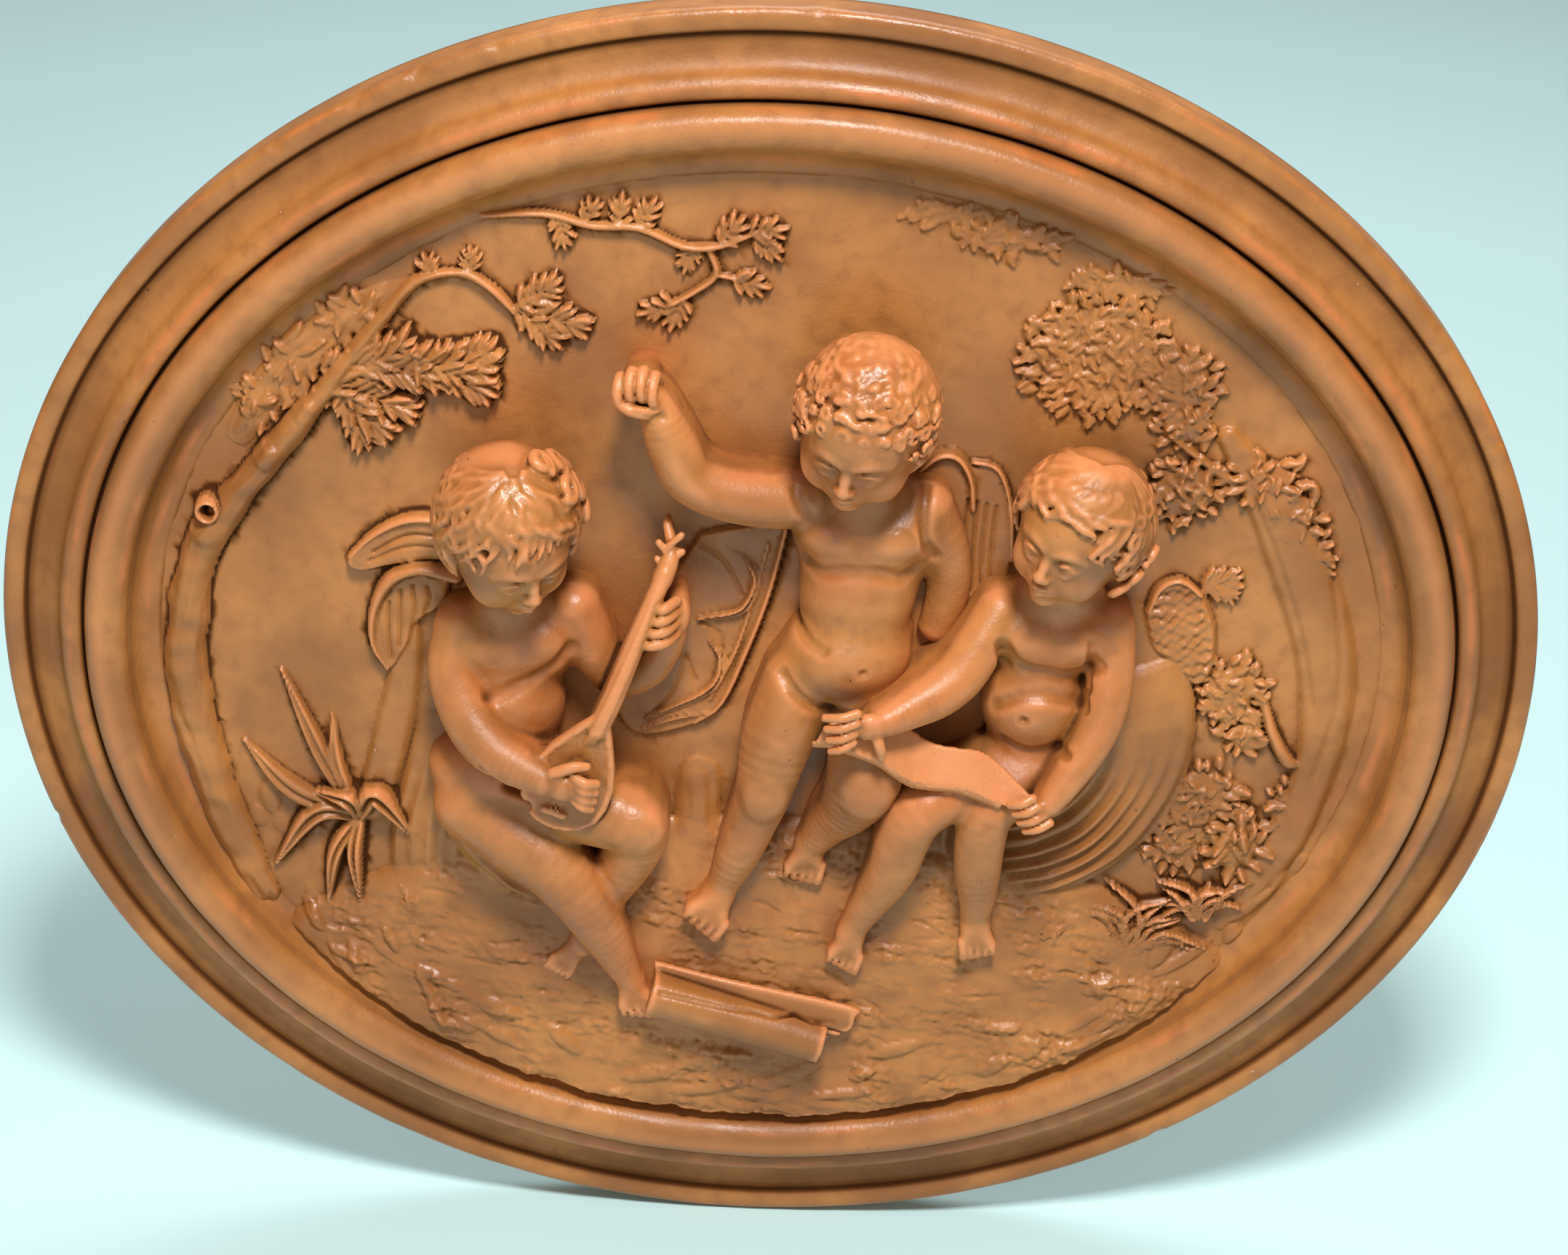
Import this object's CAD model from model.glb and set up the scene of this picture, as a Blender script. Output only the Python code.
# %% [markdown]
# # An oval relief medallion in terracotta
#
# The object is one casting in red-brown clay: a moulded oval rim round a sunk field, where three
# children make music under trees. The rim is a profile carried round an oval. The landscape is a
# sheet of heights over the field. Each child is built up in a block of numbers, as a modeller
# builds up clay, and its skin is then drawn off as a mesh.

# %% Load the model that the pieces stand on
import bpy
import numpy as np
from mathutils import Matrix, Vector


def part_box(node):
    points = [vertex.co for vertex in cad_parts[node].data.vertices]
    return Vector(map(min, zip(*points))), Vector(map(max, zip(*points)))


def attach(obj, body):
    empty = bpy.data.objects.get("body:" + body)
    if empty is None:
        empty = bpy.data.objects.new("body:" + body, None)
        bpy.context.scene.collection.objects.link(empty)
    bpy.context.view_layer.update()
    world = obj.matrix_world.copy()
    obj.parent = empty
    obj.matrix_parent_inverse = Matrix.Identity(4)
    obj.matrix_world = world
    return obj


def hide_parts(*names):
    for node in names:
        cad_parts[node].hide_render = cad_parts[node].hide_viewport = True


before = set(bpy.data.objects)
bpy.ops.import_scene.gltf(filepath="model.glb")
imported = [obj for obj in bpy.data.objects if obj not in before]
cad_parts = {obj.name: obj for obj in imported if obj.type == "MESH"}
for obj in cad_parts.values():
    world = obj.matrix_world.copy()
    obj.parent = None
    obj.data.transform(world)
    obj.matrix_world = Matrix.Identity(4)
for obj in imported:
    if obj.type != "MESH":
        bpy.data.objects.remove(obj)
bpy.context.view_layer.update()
NODE = "relief_medallion"
MM = 0.001
low, high = (np.array(corner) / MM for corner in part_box(NODE))
print("the solid is", np.round(high - low, 1), "mm")

# %% [markdown]
# Sizes are in millimetres. The size of the oval comes from the loaded model. `inset` runs in from
# the outer edge, and `front` is the distance in front of the flat back, which lies on y = 0.
# A place on the relief is (x, z, out): across, up, and out from the face of the field.

# %% Sizes of the oval and of its moulding
HALF_WIDTH = (high[0] - low[0]) / 2
HALF_HEIGHT = (high[2] - low[2]) / 2
EDGE_FRONT = 19.5
EDGE_ROUNDING = 4
FILLET_WIDTH = 9
COVE_INSET = 11
COVE_FRONT = 16.5
SWELL_INSET = 30
SWELL_FRONT = 27
QUIRK_INSET = 35
QUIRK_FRONT = 22
ROLL_FRONT = 36
ROLL_WIDTH = 19
SIGHT_STEP = 2
FIELD_INSET = 66
FIELD_FRONT = 18
# The landscape's sheet starts under the roll, and its ground runs a little way up the rim.
SHEET_INSET = 56
GROUND_INSET = 60


# %% [markdown]
# Long loops over vertices are slow in Python, so a mesh is filled from whole arrays. Each piece
# says which solid it stands for and which body it rides on, and numbers that the clay's material
# reads are kept on its points.

# %% Put arrays into a mesh
MOST_TRIANGLES = 195000
# `hollow` holds this number on a flat place, more in a hollow and less on a height.
FLAT = 0.5


def make_piece(name, points, faces):
    """A smooth piece from points (x, z, out from the field) in millimetres and lists of corners."""
    placed = np.stack([points[:, 0], -points[:, 2] - FIELD_FRONT, points[:, 1]], -1) * MM
    mesh = bpy.data.meshes.new(name)
    mesh.from_pydata(placed.tolist(), [], faces)
    mesh.shade_smooth()
    piece = bpy.data.objects.new(name, mesh)
    bpy.context.collection.objects.link(piece)
    return piece


def store(piece, name, values):
    """Keeps one number for each point of a piece, for its material to read."""
    layer = piece.data.attributes.new(name, "FLOAT", "POINT")
    layer.data.foreach_set("value", np.asarray(values, np.float32))


def thin_out(piece):
    """Merges triangles where the skin is nearly flat, until few enough are left."""
    piece.data.calc_loop_triangles()
    count = len(piece.data.loop_triangles)
    if count <= MOST_TRIANGLES:
        return
    fewer = piece.modifiers.new("fewer", "DECIMATE")
    fewer.ratio = MOST_TRIANGLES / count
    fewer.use_collapse_triangulate = True
    bpy.context.view_layer.update()
    thinned = bpy.data.meshes.new_from_object(
        piece.evaluated_get(bpy.context.evaluated_depsgraph_get()))
    piece.modifiers.clear()
    piece.data = thinned
    thinned.shade_smooth()


def close_behind(piece, middle):
    """Joins the open edge of a sheet to one point behind it, so that the skin is closed."""
    mesh = piece.data
    count = len(mesh.vertices)
    places, corners = np.empty(3 * count), np.empty(len(mesh.loops), np.int64)
    mesh.vertices.foreach_get("co", places)
    mesh.loops.foreach_get("vertex_index", corners)
    kept = {name: np.empty(count, np.float32) for name in ("hollow", "streak")}
    for name, values in kept.items():
        mesh.attributes[name].data.foreach_get("value", values)
    triangles = corners.reshape(-1, 3)
    edges = np.concatenate([triangles[:, pair] for pair in ([0, 1], [1, 2], [2, 0])])
    # An edge on the border has no partner that runs the other way.
    border = edges[~np.isin(edges @ (count, 1), edges[:, ::-1] @ (count, 1))]
    fan = np.column_stack([border[:, ::-1], np.full(len(border), count)])
    whole = bpy.data.meshes.new(piece.name)
    whole.from_pydata([*places.reshape(-1, 3).tolist(), middle], [],
                      [*triangles.tolist(), *fan.tolist()])
    whole.shade_smooth()
    piece.data = whole
    for name, values in kept.items():
        store(piece, name, np.append(values, FLAT))


def finish_piece(piece):
    """Gives the piece its clay and its place in the frame."""
    piece.data.materials.clear()
    piece.data.materials.append(fired_clay)
    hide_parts(NODE)
    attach(piece, "root")
    piece.data.calc_loop_triangles()
    print(piece.name, "has", len(piece.data.loop_triangles), "triangles")


# %% [markdown]
# ## The clay
#
# Terracotta is iron-rich clay, pressed in a mould and fired at about 1000 C. It is porous and would
# be dull, but handling and a thin slip give this one a soft sheen. Colour varies in clouds some
# 60 mm wide and in fine speckles, hollows hold brown dirt, and high places are rubbed lighter.
# Its grain is about 0.3 mm, drawn here at 1.5 mm, the finest that the picture shows.

# %% Colours and nodes
def linear(code):
    """An sRGB hex code as linear light: c/12.92 below 0.04045, else ((c + 0.055)/1.055)^2.4."""
    shares = np.array([int(code[i:i + 2], 16) for i in (1, 3, 5)]) / 255
    light = np.where(shares <= 0.04045, shares / 12.92, ((shares + 0.055) / 1.055) ** 2.4)
    return (*light.tolist(), 1.0)


def add_node(tree, kind, settings=(), **links):
    """Adds a node: settings are its own properties, links set its inputs by name or number."""
    node = tree.nodes.new(kind)
    for name, value in dict(settings).items():
        setattr(node, name, value)
    for name, value in links.items():
        socket = node.inputs[int(name[1:]) if name[1:].isdigit() else name.replace("_", " ")]
        if isinstance(value, bpy.types.NodeSocket):
            tree.links.new(value, socket)
        else:
            socket.default_value = value
    return node


# %% The material
def make_clay():
    """Mid clay, clouded and speckled, darkened by `hollow` and lightened by its opposite."""
    clay = bpy.data.materials.new("fired_terracotta")
    clay.use_nodes = True
    tree = clay.node_tree
    tree.nodes.clear()
    place = add_node(tree, "ShaderNodeTexCoord").outputs["Object"]
    hollow = add_node(tree, "ShaderNodeAttribute", {"attribute_name": "hollow"}).outputs["Fac"]
    streak = add_node(tree, "ShaderNodeAttribute", {"attribute_name": "streak"}).outputs["Fac"]

    def noise(size_mm, detail, **links):
        """Soft noise about 0.5, with spots of the given size."""
        return add_node(tree, "ShaderNodeTexNoise", Vector=place, Scale=1 / (size_mm * MM),
                        Detail=detail, **links).outputs["Fac"]

    def spread(value, low, high, to_low=0.0, to_high=1.0):
        """Maps low..high to to_low..to_high, with soft ends."""
        return add_node(tree, "ShaderNodeMapRange", {"interpolation_type": "SMOOTHSTEP"},
                        Value=value, From_Min=low, From_Max=high, To_Min=to_low,
                        To_Max=to_high).outputs["Result"]

    # Over the darkest clouds lie, in this order: lighter clouds, streaks of slip, mottling, rubbed
    # heights, dirt, pale specks and pits. Each row says which mask a layer follows, where on it the
    # layer starts and where it is full, how strong it is then, and its colour.
    colour = linear("#925A2A")
    for mask, start, full, most, code in [
        (noise(62, 3), 0.35, 0.68, 1.0, "#B6763B"),
        (streak, 0.2, 1.0, 0.6, "#C8703A"),
        (noise(9, 4), 0.42, 0.75, 0.5, "#8A5228"),
        (hollow, 0.46, 0.28, 0.75, "#DC8C58"),
        (hollow, 0.52, 0.73, 0.95, "#3C1C06"),
        (noise(4.5, 3), 0.765, 0.79, 0.55, "#D9B698"),
        (noise(3.4, 2, Distortion=0.4), 0.76, 0.80, 0.8, "#4A2A18"),
    ]:
        colour = add_node(tree, "ShaderNodeMix", {"data_type": "RGBA"}, _6=colour, _7=linear(code),
                          _0=spread(mask, start, full, 0, most)).outputs[2]
    # The handled skin has a soft sheen, and dirt has none.
    roughness = add_node(tree, "ShaderNodeMath", {"operation": "ADD"},
                         _0=spread(noise(38, 3), 0.3, 0.7, 0.32, 0.50),
                         _1=spread(hollow, 0.5, 0.7, 0, 0.45)).outputs[0]
    grain = add_node(tree, "ShaderNodeBump", Strength=0.5, Distance=0.35 * MM,
                     Height=noise(1.5, 3)).outputs["Normal"]
    hand = add_node(tree, "ShaderNodeBump", Strength=0.5, Distance=0.8 * MM,
                    Height=noise(8, 3), Normal=grain).outputs["Normal"]
    shader = add_node(tree, "ShaderNodeBsdfPrincipled", Base_Color=colour, Roughness=roughness,
                      Normal=hand, IOR=1.5, Specular_IOR_Level=spread(hollow, 0.5, 0.7, 0.5, 0.1))
    add_node(tree, "ShaderNodeOutputMaterial", Surface=shader.outputs["BSDF"])
    return clay


fired_clay = make_clay()
print("made", fired_clay.name)


# %% [markdown]
# ## The moulded rim
#
# A moulding is one profile that runs round the whole oval: a fillet, a hollow that swells outward,
# a sharp quirk, a round roll, a small step and a hollow down to the field. On a round frame a lathe
# would do. On an oval the profile must stay square to the edge, so each of its points is moved in
# along the oval's normal.

# %% Draw the profile
CREST_SHARE = 0.45
SIGHT_DROP = 6


def arc(start, control, end, steps):
    """A quadratic arc: start, control and end weighed by (1-t)^2, 2t(1-t) and t^2."""
    start, control, end = np.array(start), np.array(control), np.array(end)
    t = np.linspace(0, 1, steps + 1)[1:, None]
    return (1 - t) ** 2 * start + 2 * t * (1 - t) * control + t ** 2 * end


def moulding_profile():
    """The profile as (inset, front) points, from the back of the outer edge to the field.

    The small shifts of the arcs' control points were judged by eye."""
    roll_end = QUIRK_INSET + ROLL_WIDTH
    crest = QUIRK_INSET + ROLL_WIDTH * CREST_SHARE
    sight = ROLL_FRONT - SIGHT_DROP
    turn = (SWELL_INSET - 5, (COVE_FRONT + SWELL_FRONT) / 2 + 2)
    lip = (FILLET_WIDTH, EDGE_FRONT - 1)
    brow = (QUIRK_INSET - 1, SWELL_FRONT - 1)
    shelf = (roll_end + 0.5, sight - SIGHT_STEP)
    return np.concatenate([
        np.linspace((0, 0), (0, EDGE_FRONT - EDGE_ROUNDING), 6),
        arc((0, EDGE_FRONT - EDGE_ROUNDING), (0, EDGE_FRONT), (EDGE_ROUNDING, EDGE_FRONT), 6),
        arc((EDGE_ROUNDING, EDGE_FRONT), (FILLET_WIDTH - 1, EDGE_FRONT), lip, 5),
        arc(lip, (FILLET_WIDTH + 0.5, COVE_FRONT), (COVE_INSET, COVE_FRONT), 4),
        arc((COVE_INSET, COVE_FRONT), ((COVE_INSET + SWELL_INSET) / 2 + 3, COVE_FRONT), turn, 8),
        arc(turn, (SWELL_INSET - 1, SWELL_FRONT + 2), brow, 8),
        arc(brow, (QUIRK_INSET - 0.4, QUIRK_FRONT), (QUIRK_INSET, QUIRK_FRONT), 3),
        arc((QUIRK_INSET, QUIRK_FRONT), (QUIRK_INSET + 0.4, QUIRK_FRONT),
            (QUIRK_INSET + 1, SWELL_FRONT), 3),
        arc((QUIRK_INSET + 1, SWELL_FRONT), (QUIRK_INSET + 2, ROLL_FRONT), (crest, ROLL_FRONT), 8),
        arc((crest, ROLL_FRONT), (roll_end - 2, ROLL_FRONT), (roll_end, sight), 8),
        arc((roll_end, sight), (roll_end, sight - SIGHT_STEP), shelf, 3),
        arc(shelf, (roll_end + 2, FIELD_FRONT + 1), (FIELD_INSET, FIELD_FRONT), 10),
        np.array([(FIELD_INSET + 2, FIELD_FRONT - 2)]),
    ])


profile = moulding_profile()
print("the profile has", len(profile), "points")


# %% Carry the profile round the oval
def oval_place(angle, inset):
    """The oval's point at an angle, moved inward along its unit normal (cos/a, sin/b)."""
    across, up = np.cos(angle) / HALF_WIDTH, np.sin(angle) / HALF_HEIGHT
    length = np.hypot(across, up)
    return (HALF_WIDTH * np.cos(angle) - inset * across / length,
            HALF_HEIGHT * np.sin(angle) - inset * up / length)


def waves(seed, count, shortest, longest, *axes):
    """Smooth noise: a mean of sine waves in random directions, with lengths between two sizes."""
    rng = np.random.default_rng(seed)
    total = 0
    for length in np.geomspace(longest, shortest, count):
        direction = rng.normal(size=len(axes))
        direction *= 2 * np.pi / length / np.linalg.norm(direction)
        total = total + np.sin(sum(a * d for a, d in zip(axes, direction)) + rng.uniform(0, 6.28))
    return total / np.sqrt(count)


RIM_STEPS = 900
# Old chips on the outer edge: angle in degrees, length along the edge, depth
CHIPS = [(117, 9, 1.6), (122, 15, 2.0), (129, 7, 1.4), (111, 6, 1.2), (88, 12, 1.4), (24, 5, 1.0),
         (305, 6, 1.0), (199, 5, 0.9)]
CHIP_REACH = 4


def rim_surface():
    """The profile carried along the oval. Chips are cut where a place is near one of them."""
    angle = np.linspace(0, 2 * np.pi, RIM_STEPS, endpoint=False)[:, None]
    inset, front = profile[None, :, 0], profile[None, :, 1]
    x, z = oval_place(angle, inset)
    cut = np.zeros_like(x)
    ragged = 0.3 * waves(7, 6, 3, 11, x, z, front + 0 * x)
    for degrees, length, depth in CHIPS:
        away = np.abs(np.angle(np.exp(1j * (angle - np.radians(degrees))))) * HALF_WIDTH
        across = ((inset - 0.5) ** 2 + (front - EDGE_FRONT) ** 2) / CHIP_REACH ** 2
        reach = np.sqrt((away / (length / 2)) ** 2 + across)
        cut = np.maximum(cut, depth * np.clip(1.3 - reach + ragged, 0, 1))
    by_hand = 0.16 * waves(4, 9, 22, 150, x, z, 3 * front + 0 * x) * np.clip(front / 12, 0, 1)
    x, z = oval_place(angle, inset + 0.6 * cut)
    out = front - FIELD_FRONT + np.where(front > 3, by_hand - 0.7 * cut, 0)
    return np.stack([x, z, out], -1)


# Soft bands that run along the moulding: inset, width, strength. Dirt lies in its corners, and
# soot clings to the outer part, which nobody dusts. Slip lies thicker in streaks.
DIRTY = [(QUIRK_INSET, 1.1, 0.3), (COVE_INSET - 1, 1.2, 0.15), (FIELD_INSET, 1.5, 0.12),
         (QUIRK_INSET + ROLL_WIDTH + 0.5, 0.8, 0.105), (15, 10, 0.09)]
WORN = [(4, 3, 0.04), (43, 6, 0.12), (SWELL_INSET - 2, 3, 0.08)]
STREAKY = [(1.5, 1.2, 1), (12, 1.6, 1), (29, 2.5, 1), (37, 1.5, 1), (51, 2.2, 1), (60, 2.5, 1)]


def bands(inset, table):
    """The sum of strength exp(-((inset - at) / width)^2) over a table's bands."""
    return sum(strength * np.exp(-((inset - at) / width) ** 2) for at, width, strength in table)


def make_rim():
    """The surface closed at the back and behind the field by fans to two middle points."""
    surface = rim_surface()
    steps, count = surface.shape[:2]
    first = np.arange(steps)[:, None] * count + np.arange(count - 1)
    following = (first + count) % (steps * count)
    quads = np.stack([first, first + 1, following + 1, following], -1).reshape(-1, 4)
    start = np.arange(steps) * count
    after = (start + count) % (steps * count)
    back, field = steps * count, steps * count + 1
    fans = np.concatenate([
        np.stack([np.full(steps, back), start, after], -1),
        np.stack([after + count - 1, start + count - 1, np.full(steps, field)], -1)])
    middle = [[0, 0, -FIELD_FRONT], [0, 0, -2]]
    points = np.concatenate([surface.reshape(-1, 3), middle])
    rim = make_piece("moulded_rim", points, quads.tolist() + fans.tolist())
    inset = np.append(np.tile(profile[:, 0], steps), [0, 0])
    store(rim, "hollow", FLAT + bands(inset, DIRTY) - bands(inset, WORN))
    along = np.arctan2(points[:, 1] / HALF_HEIGHT, points[:, 0] / HALF_WIDTH) * HALF_WIDTH
    patchy = 0.5 + 0.5 * waves(11, 6, 30, 260, along, 6 * inset)
    store(rim, "streak", bands(inset, STREAKY) * np.clip(patchy, 0, 1))
    return rim


rim = make_rim()
finish_piece(rim)


# %% [markdown]
# ## Tools for the clay
#
# A child in high relief has round limbs that pass in front of each other, so no single sheet of
# heights can hold it. A block of numbers can: each number tells how far its place is from the
# skin, negative inside the form. Two forms join with a soft fillet when the smaller distance is
# taken, rounded where the two are alike. The skin is where the number passes zero.

# %% A block of clay
# The block's numbers start at FARTHEST, and its skins end BLOCK_BACK behind the field's face.
# A pressed form is drawn out toward the field: depth behind its middle counts only as a share.
FARTHEST = 30.0
BLOCK_BACK = -3.0
BACK = BLOCK_BACK - 2
PITCH = 0.9
PRESSED_SHARE = 0.15


def cos_sin(degrees):
    """The cosine and the sine of an angle."""
    return np.cos(np.radians(degrees)), np.sin(np.radians(degrees))


class Clay:
    """Distances to the skin on a grid over x, z and out, in millimetres."""

    def __init__(self, low, high, pitch=PITCH):
        """An empty block between two corners."""
        self.pitch = pitch
        self.axes = [np.arange(a, b + pitch, pitch, dtype=np.float32) for a, b in zip(low, high)]
        self.depth = np.full([len(axis) for axis in self.axes], FARTHEST, np.float32)

    def window(self, low, high):
        """The part of the block between two corners, and its x, z and out."""
        cut = []
        for axis, a, b in zip(self.axes, low, high):
            first = int(np.clip((a - axis[0]) / self.pitch, 0, len(axis)))
            cut.append(slice(first, int(np.clip((b - axis[0]) / self.pitch + 2, first, len(axis)))))
        x, z, out = (axis[part] for axis, part in zip(self.axes, cut))
        return tuple(cut), x[:, None, None], z[None, :, None], out[None, None, :]

    def join(self, cut, form, blend):
        """The smaller of distances a and b, less k m (1 - m), where m mixes them over width k."""
        old = self.depth[cut]
        mix = np.clip(0.5 + 0.5 * (old - form) / blend, 0, 1)
        self.depth[cut] = old + (form - old) * mix - blend * mix * (1 - mix)

    def carve(self, cut, form, blend):
        """The larger of a and -b, rounded in the same way, takes the form away."""
        old = self.depth[cut]
        mix = np.clip(0.5 - 0.5 * (old + form) / blend, 0, 1)
        self.depth[cut] = old - (form + old) * mix + blend * mix * (1 - mix)

    def ball(self, at, half, turn, blend, pose=None, press=True, carve=False):
        """An ellipsoid: k(k-1)/g with k = |p/r| and g = |p/r^2|."""
        at, half = np.array(at, float), np.array(half, float)
        reach = half.max() + blend + 1
        low, high = at - reach, at + reach
        if press:
            low[2] = BACK
        cut, x, z, out = self.window(low, high)
        place = [x - at[0], z - at[1], out - at[2]]
        if press:
            place[2] = np.where(place[2] < 0, place[2] * PRESSED_SHARE, place[2])
        if pose is None:
            c, s = cos_sin(turn)
            pose = np.array([[c, -s, 0], [s, c, 0], [0, 0, 1]])
        local = [sum(p * w for p, w in zip(place, column)) for column in pose.T]
        k = np.sqrt(sum((p / r) ** 2 for p, r in zip(local, half)))
        g = np.sqrt(sum((p / r ** 2) ** 2 for p, r in zip(local, half))) + 1e-6
        form = k * (k - 1) / g
        (self.carve if carve else self.join)(cut, form, blend)

    def knob(self, at, half, turn, blend):
        """A ball that stands free."""
        self.ball(at, half, turn, blend, press=False)

    def scoop(self, at, half, turn, blend):
        """Takes away a ball."""
        self.ball(at, half, turn, blend, press=False, carve=True)

    def navel(self, x, z, tall):
        """A small scoop at the skin."""
        self.scoop((x, z, self.surface(x, z) + 0.8), (2, tall, 2.6), 0, 1.5)

    def limb(self, joints, blend, press=True, carve=False, smooth=4):
        """A round bar through joints (x, z, out, radius): distance to the line less the radius."""
        joints = bent(joints, smooth)
        thick = joints[:, 3].max() + blend + 1
        low, high = joints[:, :3].min(0) - thick, joints[:, :3].max(0) + thick
        if press:
            low[2] = BACK
        cut = self.window(low, high)[0]
        form = np.full(self.depth[cut].shape, FARTHEST, np.float32)
        for a, b in zip(joints[:-1], joints[1:]):
            near, far = np.minimum(a[:3], b[:3]) - thick, np.maximum(a[:3], b[:3]) + thick
            if press:
                near[2] = BACK
            part, x, z, out = self.window(near, far)
            span = b - a
            level = np.maximum(out, min(a[2], b[2])) if press else out
            t = (x - a[0]) * span[0] + (z - a[1]) * span[1] + (level - a[2]) * span[2]
            t = np.clip(t / (span[:3] @ span[:3] + 1e-9), 0, 1)
            depth = out - a[2] - t * span[2]
            if press:
                depth = np.where(depth < 0, depth * PRESSED_SHARE, depth)
            gap = np.sqrt((x - a[0] - t * span[0]) ** 2 + (z - a[1] - t * span[1]) ** 2
                          + depth ** 2)
            inner = tuple(slice(p.start - c.start, p.stop - c.start) for p, c in zip(part, cut))
            form[inner] = np.minimum(form[inner], gap - a[3] - t * span[3])
        (self.carve if carve else self.join)(cut, form, blend)

    def rod(self, joints, blend, smooth=4):
        """A limb that stands free."""
        self.limb(joints, blend, press=False, smooth=smooth)

    def surface(self, x, z):
        """How far out the skin is in front of a place: the last step from inside to outside."""
        i = int(np.clip(round((x - self.axes[0][0]) / self.pitch), 0, len(self.axes[0]) - 1))
        j = int(np.clip(round((z - self.axes[1][0]) / self.pitch), 0, len(self.axes[1]) - 1))
        column = self.depth[i, j]
        inside = np.flatnonzero(column < 0)
        if len(inside) == 0 or inside[-1] + 1 >= len(column):
            return 0.0
        last = inside[-1]
        share = column[last] / (column[last] - column[last + 1])
        return float(self.axes[2][last] + share * self.pitch)

    def score(self, path, radius, sink, blend=1.0):
        """A groove drawn on the skin along a path (x, z), `sink` deep."""
        line = bent(path, 4)
        outs = [self.surface(x, z) + radius - sink for x, z in line]
        self.limb(np.column_stack([line, outs, np.full(len(line), radius)]), blend,
                  press=False, carve=True, smooth=1)

    def lay(self, path, radius, lift, blend=1.0):
        """A ridge laid on the skin along a path (x, z), `lift` high."""
        line = bent(path, 4)
        outs = [self.surface(x, z) - radius + lift for x, z in line]
        bow = np.clip(np.sin(np.linspace(0.12, np.pi - 0.12, len(line))) * 1.6, 0, 1)
        self.rod(np.column_stack([line, outs, radius * np.sqrt(bow)]), blend, 1)


def bent(joints, steps):
    """A Catmull-Rom curve: a cubic between joints that leaves each one along its neighbours."""
    joints = np.array(joints, float)
    if steps < 2 or len(joints) < 3:
        return joints
    padded = np.concatenate([[2 * joints[0] - joints[1]], joints, [2 * joints[-1] - joints[-2]]])
    t = np.linspace(0, 1, steps, endpoint=False)[None, :, None]
    p0, p1, p2, p3 = (padded[i:len(padded) - 3 + i, None, :] for i in range(4))
    curve = 0.5 * (2 * p1 + (p2 - p0) * t + (2 * p0 - 5 * p1 + 4 * p2 - p3) * t ** 2
                   + (3 * p1 - p0 - 3 * p2 + p3) * t ** 3)
    return np.concatenate([curve.reshape(-1, joints.shape[1]), joints[-1:]])


# %% [markdown]
# The skin is drawn off with surface nets. Each cell of the grid that the skin passes through gets
# one point, the mean of the places where the skin crosses the cell's edges. Each edge that is
# crossed gets one four-sided face between the four cells round it.

# %% Draw off the skin
CORNERS = list(np.ndindex(2, 2, 2))
AXES = np.eye(3, dtype=int)
AROUND = 1.9


def blur(values, reach, axes):
    """A mean over a window of 2 reach + 1 places along each axis, by running sums."""
    for axis in axes:
        wide = [(reach + 1, reach) if i == axis else (0, 0) for i in range(values.ndim)]
        sums = np.cumsum(np.pad(values, wide, mode="edge"), axis=axis, dtype=np.float32)
        count = values.shape[axis]
        upper = np.take(sums, np.arange(2 * reach + 1, 2 * reach + 1 + count), axis=axis)
        values = (upper - np.take(sums, np.arange(count), axis=axis)) / (2 * reach + 1)
    return values


def relax(points, faces, weight):
    """Moves each point by a share toward the mean of its neighbours, or away if negative."""
    first, second = faces.ravel(), np.roll(faces, -1, axis=1).ravel()
    count = np.bincount(first, minlength=len(points))[:, None] + 1e-9
    sums = [np.bincount(first, points[second, i], len(points)) for i in range(3)]
    return points + weight * (np.stack(sums, -1) / count - points)


def between(values, index):
    """The value at places between the grid's: a mean of those round it, weighed by nearness."""
    low = np.minimum(index.astype(int), np.array(values.shape) - 2)
    part = index - low
    total = 0
    for corner in np.ndindex((2,) * values.ndim):
        weight = np.prod(np.where(corner, part, 1 - part), axis=1)
        total = total + weight * values[tuple((low + corner).T)]
    return total


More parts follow.
